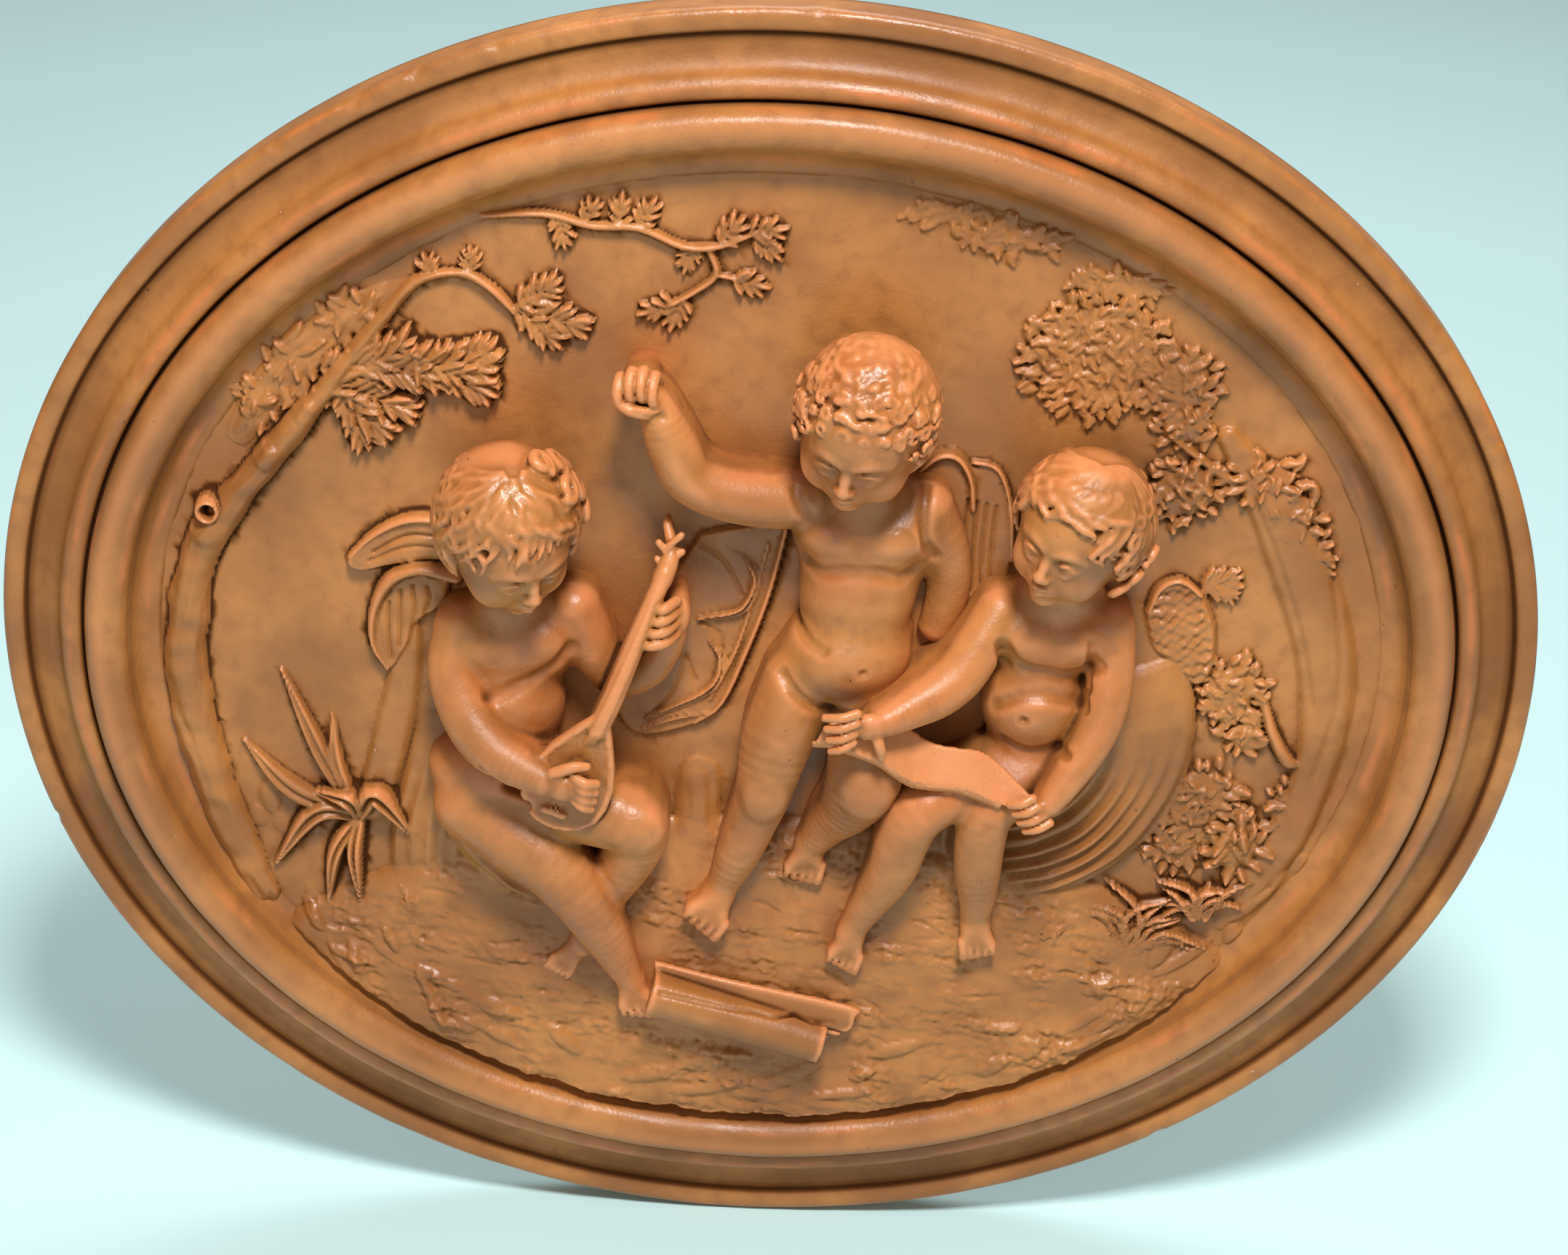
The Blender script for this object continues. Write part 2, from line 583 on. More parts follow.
def draw_skin(clay):
    """Points and faces of the skin, and how much clay is round each point, 0.5 on a flat place."""
    depth = np.maximum(clay.depth, BLOCK_BACK - clay.axes[2][None, None, :])
    for axis in range(3):
        for end in (0, -1):
            edge = [slice(None)] * 3
            edge[axis] = end
            depth[tuple(edge)] = np.maximum(depth[tuple(edge)], 0.5)
    inside = depth < 0
    cells = np.zeros([n - 1 for n in depth.shape], np.uint8)
    for i, j, k in CORNERS:
        cells += inside[i:i + cells.shape[0], j:j + cells.shape[1], k:k + cells.shape[2]]
    active = np.argwhere((cells > 0) & (cells < 8))
    number = np.full(cells.shape, -1, np.int32)
    number[tuple(active.T)] = np.arange(len(active))
    total, crossings = np.zeros((len(active), 3)), np.zeros((len(active), 1))
    for axis, step in enumerate(AXES):
        for corner in CORNERS:
            if corner[axis]:
                continue
            a = active + corner
            da, db = depth[tuple(a.T)], depth[tuple((a + step).T)]
            crossed = (da < 0) != (db < 0)
            share = np.where(crossed, da / np.where(crossed, da - db, 1), 0)
            total += (a + share[:, None] * step) * crossed[:, None]
            crossings += crossed[:, None]
    index = total / crossings
    points = np.stack([axis[0] + index[:, i] * clay.pitch for i, axis in enumerate(clay.axes)], -1)
    faces = []
    for axis, step in enumerate(AXES):
        u, v = AXES[(axis + 1) % 3], AXES[(axis + 2) % 3]
        here = tuple(slice(0, n - s) for n, s in zip(depth.shape, step))
        there = tuple(slice(s, n) for n, s in zip(depth.shape, step))
        edges = np.argwhere(inside[here] != inside[there])
        ring = [number[tuple((edges - shift).T)] for shift in (0 * u, u, u + v, v)]
        quads = np.stack(ring, -1)
        leaving = inside[tuple(edges.T)]
        # The axes (x, z, out) are a left-handed set, because out is -y.
        quads[~leaving] = quads[~leaving][:, ::-1]
        faces.append(quads)
    faces = np.concatenate(faces)
    # A step in and a slightly longer step out smooth the skin and keep its size.
    for weight in (0.5, -0.52) * 3:
        points = relax(points, faces, weight)
    reach = round(AROUND / clay.pitch)
    solid = blur(blur(inside.astype(np.float32), reach, (0, 1, 2)), reach, (0, 1, 2))
    return points, faces, between(solid, index)


FORMS = {}


def model(name, clay):
    """Keeps the skin of a finished block until all of them can be compared."""
    FORMS[name] = draw_skin(clay)
    print(name, "was drawn off with", len(FORMS[name][1]), "faces")


# %% [markdown]
# ## A child's head, hands and feet
#
# Every head starts as a skull and a smaller face in front, as in clay. Cheeks, chin, nose and lips
# are added, the sockets are pressed in and the calm, lowered lids are laid over the eyeballs. The
# proportions are those of a drawing book: eyes half way down, nose and mouth below. Places on the
# head are (right, up, forward) as shares of its half sizes.

# %% Turn and build a head
SKULL_MIDDLE = np.array([0, 0.12, -0.08])
SKULL_HALF = np.array([0.84, 0.82, 0.88])


def head_pose(turn, nod, tilt):
    """Columns right, up and forward: turned to the viewer's right, nodding, tilting clockwise."""
    t, n, k = np.radians((turn, nod, tilt))
    turned = np.array([[np.cos(t), 0, np.sin(t)], [0, 1, 0], [-np.sin(t), 0, np.cos(t)]])
    nodding = np.array([[1, 0, 0], [0, np.cos(n), -np.sin(n)], [0, np.sin(n), np.cos(n)]])
    tilting = np.array([[np.cos(k), np.sin(k), 0], [-np.sin(k), np.cos(k), 0], [0, 0, 1]])
    return tilting @ nodding @ turned


class Head:
    """A head in a block of clay: its middle, its half sizes and its pose."""

    def __init__(self, clay, at, half, turn, nod, tilt):
        """Builds the bare head, with its face."""
        self.clay, self.at, self.half = clay, np.array(at, float), np.array(half, float)
        self.pose = head_pose(turn, nod, tilt)
        self.size = self.half.mean()
        self.face()

    def place(self, spot):
        """The place in the block of a spot on the head."""
        return self.at + self.pose @ (np.array(spot) * self.half)

    def ball(self, spot, half, blend=0.1, carve=False):
        """An ellipsoid in the head's own measure."""
        self.clay.ball(self.place(spot), np.array(half) * self.half, 0, blend * self.size,
                       self.pose, False, carve)

    def rod(self, spots, radii, blend, smooth=2, carve=False):
        """A bar through spots on the head, with its radii in millimetres."""
        joints = np.column_stack([[self.place(spot) for spot in spots], radii])
        self.clay.limb(joints, blend * self.size, press=False, carve=carve, smooth=smooth)

    def cord(self, spots, radius, blend=0.05, carve=False):
        """A thin bar, thinner at both ends."""
        radii = np.full(len(spots), radius * self.size)
        radii[[0, -1]] *= 0.6
        self.rod(spots, radii, blend, 3, carve)

    def face(self):
        """Skull and face, then the features from large to small."""
        x, z, out = self.at
        self.clay.rod([(x, z - 2, out - 4, 0.62 * self.size), (x, z - 3, -3, 0.5 * self.size)], 3)
        self.ball(SKULL_MIDDLE, SKULL_HALF, 0.1)
        self.ball((0, -0.24, 0.14), (0.62, 0.62, 0.68), 0.25)
        self.ball((0, 0.22, 0.34), (0.58, 0.44, 0.50), 0.2)
        for side in (-1, 1):
            self.ball((0.35 * side, -0.40, 0.44), (0.27, 0.25, 0.27), 0.2)
            self.ball((0.29 * side, -0.03, 0.90), (0.18, 0.11, 0.13), 0.12, True)
            self.ball((0.29 * side, -0.07, 0.67), (0.15, 0.14, 0.15), 0.05)
            self.cord([(0.12 * side, -0.09, 0.77), (0.21 * side, -0.02, 0.825),
                       (0.31 * side, 0.00, 0.815), (0.43 * side, -0.08, 0.71)], 0.032, 0.035)
            self.cord([(0.14 * side, -0.13, 0.77), (0.28 * side, -0.185, 0.80),
                       (0.41 * side, -0.13, 0.72)], 0.024, 0.035)
            self.cord([(0.09 * side, 0.10, 0.83), (0.26 * side, 0.16, 0.80),
                       (0.46 * side, 0.10, 0.65)], 0.05, 0.12)
            self.ball((0.74 * side, -0.20, 0.00), (0.10, 0.19, 0.13), 0.06)
            self.ball((0.82 * side, -0.19, 0.05), (0.05, 0.11, 0.06), 0.05, True)
            self.ball((0.08 * side, -0.33, 0.86), (0.060, 0.052, 0.07), 0.05)
        self.cord([(0, 0.04, 0.80), (0, -0.14, 0.87), (0, -0.27, 0.95)], 0.070, 0.07)
        self.ball((0, -0.29, 0.92), (0.090, 0.076, 0.085), 0.06)
        self.ball((0, -0.76, 0.54), (0.19, 0.15, 0.18), 0.16)
        self.ball((0, -0.53, 0.70), (0.21, 0.12, 0.12), 0.12)
        self.cord([(-0.16, -0.535, 0.75), (-0.06, -0.487, 0.845), (0, -0.500, 0.855),
                   (0.06, -0.487, 0.845), (0.16, -0.535, 0.75)], 0.042, 0.03)
        self.cord([(-0.13, -0.556, 0.76), (0, -0.590, 0.838), (0.13, -0.556, 0.76)], 0.046, 0.03)
        self.cord([(-0.18, -0.543, 0.77), (0, -0.541, 0.885), (0.18, -0.543, 0.77)], 0.018, 0.02,
                  True)

    def on_skull(self, azimuth, height, lift):
        """The skull's spot in a direction: degrees round from the face and up, then a lift."""
        a, h = np.radians(azimuth), np.radians(height)
        direction = np.array([np.sin(a) * np.cos(h), np.sin(h), np.cos(a) * np.cos(h)])
        return SKULL_MIDDLE + direction * (SKULL_HALF + lift)

    def lock(self, start, end, width=0.065, sway=6.0, bends=1.5, lift=0.03, phase=0.0):
        """A lock of hair between two directions on the skull, swaying to and fro as a sine wave."""
        t = np.linspace(0, 1, 8)
        side = sway * np.sin(2 * np.pi * bends * t + phase)
        azimuth = start[0] + (end[0] - start[0]) * t + side
        height = start[1] + (end[1] - start[1]) * t + 0.3 * side
        spots = [self.on_skull(a, h, lift + 0.025 * np.sin(3 * np.pi * s + phase))
                 for a, h, s in zip(azimuth, height, t)]
        radii = width * self.size * np.clip(np.sin(np.pi * (0.1 + 0.86 * t)) + 0.25, 0.25, 1)
        self.rod(spots, radii, 0.03)

    def curl(self, azimuth, height, size=0.10, thick=0.045, turns=1.3, lift=0.04, phase=0.0):
        """A ringlet: a spiral that winds in and rises toward its middle."""
        t = np.linspace(0, 1, 11)
        angle = phase + 2 * np.pi * turns * t
        degrees = np.degrees(size * (1 - 0.65 * t))
        narrow = max(np.cos(np.radians(height)), 0.3)
        spots = [self.on_skull(azimuth + d * np.cos(a) / narrow, height + 0.8 * d * np.sin(a),
                               lift + 0.015 * s) for d, a, s in zip(degrees, angle, t)]
        radii = thick * self.size * (0.75 + 0.35 * np.sin(np.pi * t) - 0.3 * t)
        self.rod(spots, radii, 0.015)

    def side_curls(self, rng, heights, step, bare, size, lift):
        """Rows of ringlets round the sides and the back, from `bare` degrees off the face."""
        for height in heights:
            for azimuth in np.arange(-170, 180, step):
                if abs(azimuth) > bare:
                    self.curl(azimuth + rng.uniform(-5, 5), height + rng.uniform(-5, 5),
                              size * rng.uniform(0.8, 1.2), 0.055,
                              1.2 if rng.random() > 0.5 else -1.2, lift, rng.uniform(0, 6))


# %% Build hands and feet
def fingers(clay, knuckles, tips, out, radius, rise=1.0, blend=0.8):
    """Four fingers from a line of knuckles to a line of tips, each a bar that bends over."""
    starts, ends = (np.linspace(a, b, 4) for a, b in (knuckles, tips))
    for i, (start, end) in enumerate(zip(starts, ends)):
        middle = (start + end) / 2
        size = radius * (1, 1.04, 1, 0.88)[i]
        clay.rod([(*start, out - 0.6, size), (*middle, out + rise, size * 0.96),
                  (*end, out - 1.8, size * 0.86)], blend, 3)


def foot(clay, ankle, heel_out, first_toe, last_toe, toe_out, length=6.5):
    """A wedge that widens from the ankle to a row of five toes. The first toe is the big one."""
    first, last = np.array(first_toe, float), np.array(last_toe, float)
    middle, start = (first + last) / 2, np.array(ankle, float)
    ahead = (middle - start) / np.linalg.norm(middle - start)
    half = np.linalg.norm(first - last) / 2
    for side in (-0.5, 0, 0.5):
        ball = middle + (last - first) * side * 0.85
        clay.limb([(*start, heel_out, half * 0.72),
                   (*((start + ball) / 2), (heel_out + toe_out) / 2 + 1, half * 0.55),
                   (*ball, toe_out, half * 0.42)], 2.5)
    for share in np.linspace(0, 1, 5):
        root = first + (last - first) * share
        size = half * (0.33 - 0.12 * share)
        tip = root + ahead * (length * (1 - 0.35 * share))
        clay.rod([(*(root - ahead * 1.5), toe_out + 0.8, size),
                  (*((root + tip) / 2), toe_out + 1.6, size * 0.82), (*tip, toe_out, size)], 0.5, 3)


# %% [markdown]
# ## The child that stands
#
# The body is joined from rounded masses with wide fillets, and the limbs are bars through their
# joints. Folds of a plump child's skin are drawn with a groove, as with a modelling tool.

# %% Model the standing child
def standing_child():
    """The child in the middle, with one fist raised."""
    clay = Clay((-70, -132, BACK), (96, 166, 67.5))
    # The arm that goes down behind
    clay.limb([(61, 76, 12, 12), (71, 56, 9, 9.5), (73, 36, 5, 8.5), (69, 20, 3, 7)], 3)
    # Wide masses of the body: middle, half sizes, turn and blend
    for mass in [
        ((37, 64, 9), (29, 23, 22), 0, 9), ((23, 66, 17), (13, 9, 13.5), -14, 8),
        ((50, 66, 17), (13, 9, 13.5), 14, 8), ((35, 38, 11), (24, 26, 21.5), 0, 10),
        ((32, 11, 12), (27, 21, 25.5), 8, 7), ((36, 84, 10), (17, 10, 13), 0, 9),
    ]:
        clay.ball(*mass)
    clay.limb([(37, 96, 22, 11), (37, 80, 17, 12)], 5)
    clay.limb([(13, 79, 15, 12), (-4, 80, 20, 11.5), (-22, 84, 24, 10.8), (-35, 91, 25, 10.5),
               (-42, 104, 25, 10.2), (-47, 117, 26, 8), (-50, 123, 26, 6.8)], 4)
    # A closed hand: the fingers curl over its front, and the thumb lies below them
    clay.ball((-55, 128, 26), (8, 7.5, 7), 20, 2)
    for step, top in enumerate((133.5, 136, 136.5, 134.5)):
        x = -63 + 4.5 * step
        clay.rod([(x + 1.6, top - 3, 25, 2.6), (x + 0.4, top, 30, 2.5),
                  (x - 0.4, top - 4, 34.5, 2.4), (x, top - 9, 35, 2.1),
                  (x + 1.4, top - 11, 32, 1.9)], 0.25, 3)
    clay.rod([(-47, 122, 30, 3.2), (-51, 120.5, 34, 2.8), (-58, 122, 36, 2.5), (-62, 123.5, 35, 2)],
             0.4)
    # Legs: the one that stands, and the one bent back at the knee
    clay.limb([(13, -2, 16, 15.5), (6, -24, 20, 15.5), (2, -42, 23, 13), (0, -52, 23, 11.8),
               (-4, -66, 20, 10.8), (-9, -82, 18, 9.6), (-14, -97, 15, 7.2),
               (-17, -105, 15, 6.4)], 5)
    clay.knob((1, -49, 32), (7.5, 8.5, 4), 0, 5)
    foot(clay, (-17, -105), 14, (-15, -118), (-29, -110), 20, 6)
    clay.limb([(40, -6, 16, 15), (42, -24, 21, 16), (42, -40, 26, 16), (37, -55, 21, 13),
               (29, -68, 14, 10), (22, -80, 11, 7)], 5)
    clay.knob((43, -42, 36), (9, 11, 6), 0, 5)
    foot(clay, (21, -80), 11, (26, -92), (12, -92), 12, 6.5)
    # Folds of the skin: below the chest, beside the belly, the groin, the wrist and both armpits
    clay.score([(13, 55), (20, 52), (30, 54), (43, 54), (53, 51), (60, 54)], 2.0, 0.7, 4)
    clay.score([(9, 27), (15, 22), (22, 20)], 1.6, 0.7, 3)
    clay.score([(6, 6), (14, -3), (24, -9), (36, -10), (47, -5), (55, 3)], 1.8, 1.9, 3)
    clay.score([(-55, 121), (-50, 119), (-45, 119)], 1.2, 0.8, 2)
    clay.score([(8, 88), (10, 82), (14, 76)], 1.6, 0.7, 3)
    clay.score([(61, 88), (60, 78), (62, 66), (66, 58)], 1.6, 1.2, 3)
    clay.navel(39, 12, 1.4)
    # The head has short locks on its crown and small curls below them
    head = Head(clay, (34, 120, 34), (32, 35, 31), -12, 28, 4)
    rng = np.random.default_rng(1)
    head.ball(SKULL_MIDDLE + (0, 0.13, -0.08), (0.87, 0.78, 0.86), 0.08)
    for azimuth in np.arange(-176, 180, 8):
        head.lock((azimuth * 0.6, 86), (azimuth + 5, 46 + 4 * np.sin(azimuth)), 0.048, 9, 1.4, 0.03,
                  azimuth)
    for _ in range(70):
        azimuth, height = rng.uniform(-180, 180), rng.uniform(50, 84)
        end = (azimuth + rng.uniform(-50, 50), height - rng.uniform(8, 22))
        head.lock((azimuth, height), end, 0.042, 9, 1.0, 0.055, rng.uniform(0, 6))
    for row, height in enumerate((50, 38, 26, 13, 0, -12, -22)):
        for azimuth in np.arange(-170 + 7 * row, 180, 12):
            if abs(azimuth) < (0, 0, 0, 40, 50, 58, 64)[row]:
                continue
            head.curl(azimuth + rng.uniform(-5, 5), height + rng.uniform(-6, 6),
                      rng.uniform(0.07, 0.13), rng.uniform(0.034, 0.050),
                      1.0 if rng.random() > 0.4 else -1.0, rng.uniform(0.03, 0.08),
                      rng.uniform(0, 6))
    return clay


model("standing_child", standing_child())


# %% [markdown]
# ## The child that reads
#
# This child sits with an open book of music on the knees. A page is a thin curved plate: the place
# is inside it where it is less than half a thickness from a sloping surface and inside the page's
# outline. It isn't pressed back to the field, so its front edge stands free and casts a shadow.

# %% Model a thin plate
def inside_outline(corners, x, z):
    """Distance to a closed outline, negative inside: nearest side, signed by crossings of a ray."""
    shape = np.broadcast(x, z).shape
    nearest, crossed = np.full(shape, 1e9), np.zeros(shape, bool)
    for (ax, az), (bx, bz) in zip(corners, np.roll(corners, -1, axis=0)):
        dx, dz = bx - ax, bz - az
        t = np.clip(((x - ax) * dx + (z - az) * dz) / (dx ** 2 + dz ** 2), 0, 1)
        nearest = np.minimum(nearest, (x - ax - t * dx) ** 2 + (z - az - t * dz) ** 2)
        crossed ^= ((az > z) != (bz > z)) & (x < dx * (z - az) / (dz + 1e-9) + ax)
    return np.sqrt(nearest) * np.where(crossed, -1, 1)


def plate(clay, corners, face, thickness, blend):
    """A plate over an outline, whose middle lies at out = face(x, z), up to 70 mm out.

    A sloping plate is thinner across than along out, by about 0.85."""
    corners = bent(corners, 3)
    cut, x, z, out = clay.window((*(corners.min(0) - 3), BACK), (*(corners.max(0) + 3), 70))
    across = np.abs(out - face(x, z)) * 0.85 - thickness / 2
    edge = inside_outline(corners, x[:, :, 0], z[:, :, 0])[:, :, None]
    form = np.maximum(across, edge) + 0.3
    clay.join(cut, form.astype(np.float32), blend)


# %% Model the reading child
def reading_child():
    """The child on the right, who holds the book with both hands."""
    clay = Clay((6, -150, BACK), (168, 122, 67.5))
    for mass in [
        ((115, 24, 9), (27, 20, 20), 0, 9), ((104, 25, 15), (12, 8, 13.5), -10, 8),
        ((127, 24, 15), (12, 8, 13.5), 10, 8), ((111, -10, 9), (22, 22, 20), 0, 9),
        ((108, -42, 8), (28, 18, 18), 0, 8), ((118, 42, 11), (18, 10, 11), 0, 9),
    ]:
        clay.ball(*mass)
    clay.limb([(121, 56, 22, 10.5), (118, 42, 16, 11.5)], 5)
    # Legs
    clay.limb([(114, -42, 12, 14), (104, -46, 20, 12.2), (94, -54, 26, 11.6), (92, -68, 25, 10.8),
               (92, -84, 22, 10), (93, -98, 18, 8.2), (93, -109, 15, 6.6), (93, -114, 15, 6.2)], 4)
    foot(clay, (93, -112), 14, (88, -123), (101, -123), 18, 6)
    clay.limb([(100, -44, 14, 14), (82, -46, 22, 12.2), (66, -54, 28, 12), (60, -67, 27, 11.4),
               (56, -84, 24, 10.4), (49, -101, 19, 8.4), (43, -114, 16, 6.6),
               (40, -121, 16, 6.2)], 3.5)
    foot(clay, (41, -120), 15, (44, -133), (32, -130), 18, 6)
    # The book: a page over the knees and over the standing child's knee, and edges of the pages
    # below it. `front` is the page's near edge, and `back` the far one.
    front = np.array([(20, -15, 46), (26, -14, 48), (34, -16, 49), (46, -22, 46), (54, -29, 43),
                      (61, -34, 41), (70, -36, 39.5), (79, -37, 38.5), (88, -40, 38),
                      (98, -44.5, 38), (108, -47, 38.5), (115, -49, 40)])

    def page(x, z):
        """The page's front line is nearest, and behind it the page slopes back to the child."""
        edge, out = (np.interp(x, front[:, 0], front[:, i]) for i in (1, 2))
        return out - 0.5 * np.clip(z - edge, 0, 40) - 0.5 * np.cos(0.22 * x + 0.1 * z)

    back = [(116, -45), (110, -40), (100, -31), (90, -24), (80, -22), (69, -20), (60, -14),
            (53, -8), (45, -4), (34, -3), (24, -8)]
    plate(clay, [*front[:, :2].tolist(), *back], page, 2.4, 0.6)
    for slip in (0, 1, 2):
        clay.rod([(x, z - 0.8 - 1.4 * slip, out - 0.6 - 1.7 * slip, 1.0)
                  for x, z, out in front[:-2]], 0.4)
    # The arms, each with a hand on the book
    clay.limb([(139, 28, 15, 11), (141, 10, 19, 9.6), (139, -8, 24, 9.2), (132, -23, 30, 8.2),
               (123, -36, 36, 6.8), (118, -42, 39, 5.8)], 3.5)
    clay.knob((115, -44, 41), (5.5, 4.6, 4), 40, 1.5)
    fingers(clay, ((111, -38), (119, -49)), ((102, -42), (109, -54)), 44, 2.1, 1, 0.3)
    clay.limb([(94, 33, 15, 10.5), (87, 22, 21, 10.5), (79, 10, 27, 10.6), (70, 3, 32, 10.2),
               (60, -1, 38, 8.6), (50, -4, 45, 6.6), (46, -5, 47, 5.8)], 3.5)
    clay.knob((42, -5, 50), (6.5, 5.8, 4), 12, 1.5)
    fingers(clay, ((37, 2), (36, -11)), ((24, -1), (27, -16)), 53.5, 2.1, 1, 0.3)
    clay.rod([(45, -8, 50, 2.6), (47, -14, 51, 2.3), (48, -19, 49.5, 1.8)], 0.6)
    # Folds of the skin
    clay.score([(97, 20), (101, 15), (108, 12), (115, 11), (122, 9), (130, 11), (135, 15)],
               2.0, 1.0, 4)
    clay.score([(95, 24), (96, 18), (97, 12)], 1.8, 0.9, 4)
    clay.score([(132, 26), (132, 12), (131, -4)], 1.5, 1.5, 3)
    clay.score([(94, -6), (104, 0), (116, 1), (128, -3)], 1.8, 0.9, 4)
    clay.score([(98, -22), (110, -26), (124, -22)], 1.6, 1.0, 3)
    clay.navel(106, -10, 1.6)
    # The head has wavy locks from its parting, a fringe, and ringlets at its sides
    head = Head(clay, (121.5, 79, 35), (29, 32, 29), -30, 16, 10)
    rng = np.random.default_rng(2)
    head.ball(SKULL_MIDDLE + (0, 0.12, -0.06), (0.90, 0.80, 0.88), 0.08)
    for azimuth in np.arange(-176, 180, 7):
        end = 32 if abs(azimuth) < 48 else 6 if abs(azimuth) < 75 else -18
        head.lock((20 + 0.5 * azimuth, 80), (azimuth, end + rng.uniform(-6, 6)), 0.062, 12, 1.8,
                  0.08, rng.uniform(0, 1.5))
    for azimuth in np.arange(-60, 62, 9):
        head.lock((azimuth * 0.7 + 12, 56), (azimuth * 1.1, 22 + rng.uniform(-5, 7)), 0.055, 11,
                  1.2, 0.10, rng.uniform(0, 3))
    head.side_curls(rng, (34, 16, 0, -18), 19, 66, 0.15, 0.10)
    for azimuth, height in ((92, -24), (104, -8), (80, -34)):
        head.curl(azimuth, height, 0.17, 0.07, 1.2, 0.2, azimuth)
    return clay


model("reading_child", reading_child())


# %% [markdown]
# ## The child that plays
#
# The lute's back is a half pear: its half width is given along its middle line, and the depth is
# pressed flat. A plane cuts the front off for the soundboard. The neck is a bar, and the strings
# are ridges laid on the skin.

# %% Model the lute
LUTE_TOP, LUTE_END = np.array([-65.0, -5.0]), np.array([-88.0, -63.0])
BOARD_OUT = 45.0


def lute(clay):
    """max(pear, out - board): the pear's half width is read along its length."""
    length = np.hypot(*(LUTE_END - LUTE_TOP))
    along = (LUTE_END - LUTE_TOP) / length
    cut, x, z, out = clay.window((-114, -74, BACK), (-46, 6, 56))
    u = (x - LUTE_TOP[0]) * along[0] + (z - LUTE_TOP[1]) * along[1]
    v = (x - LUTE_TOP[0]) * along[1] - (z - LUTE_TOP[1]) * along[0]
    half = np.interp(u, [0, 4, 12, 24, 34, 44, 52, 58, 61, 62.5],
                     [1, 3.6, 8, 14, 17.5, 18.5, 17, 12, 7, 0])
    beyond = np.maximum(np.maximum(-u, u - length), 0)
    board = BOARD_OUT - 0.10 * (u - 20)
    pear = np.sqrt(v ** 2 + ((out - board + 2) / 0.9) ** 2 + beyond ** 2) - half
    clay.join(cut, np.maximum(pear, out - board).astype(np.float32), 0.6)
    edging = np.maximum(np.abs(pear + 1.3) - 1.1, np.abs(out - board) - 0.8)
    clay.join(cut, edging.astype(np.float32), 0.5)
    # The sound hole with its rosette, the bridge, the neck, the strings, the head and its pegs
    clay.scoop((-76, -32, BOARD_OUT), (5.4, 5.4, 2.5), 0, 0.6)
    clay.knob((-76, -32, BOARD_OUT - 2.5), (3.6, 3.6, 1.3), 0, 0.4)
    clay.rod([(-82, -56, 42.5, 1.6), (-90, -53, 42.5, 1.6)], 0.5)
    clay.limb([(-68, -14, 45, 4.3), (-62, 0, 43, 4.4), (-52, 27, 37, 3.9), (-43, 50, 30, 3.4)], 0.8)
    for shift in (-1.8, 0, 1.8):
        clay.lay([(-86 + shift, -54), (-75 + shift, -28), (-62 + shift * 0.8, 1),
                  (-44 + shift * 0.7, 46)], 0.9, 0.8, 0.4)
    clay.limb([(-44, 47, 29, 4.2), (-41.5, 54, 27, 3.8), (-41, 60, 24, 2.6), (-43, 67, 20, 1.8)],
              0.8)
    for step, (side, reach) in enumerate([(-1, 4.5), (1, 5.5), (-1, 4), (1, 5)]):
        z = 50 + 3.6 * step
        clay.rod([(-42, z, 27, 1.3), (-42 + side * reach, z + 4.5, 26, 1.6)], 0.4)


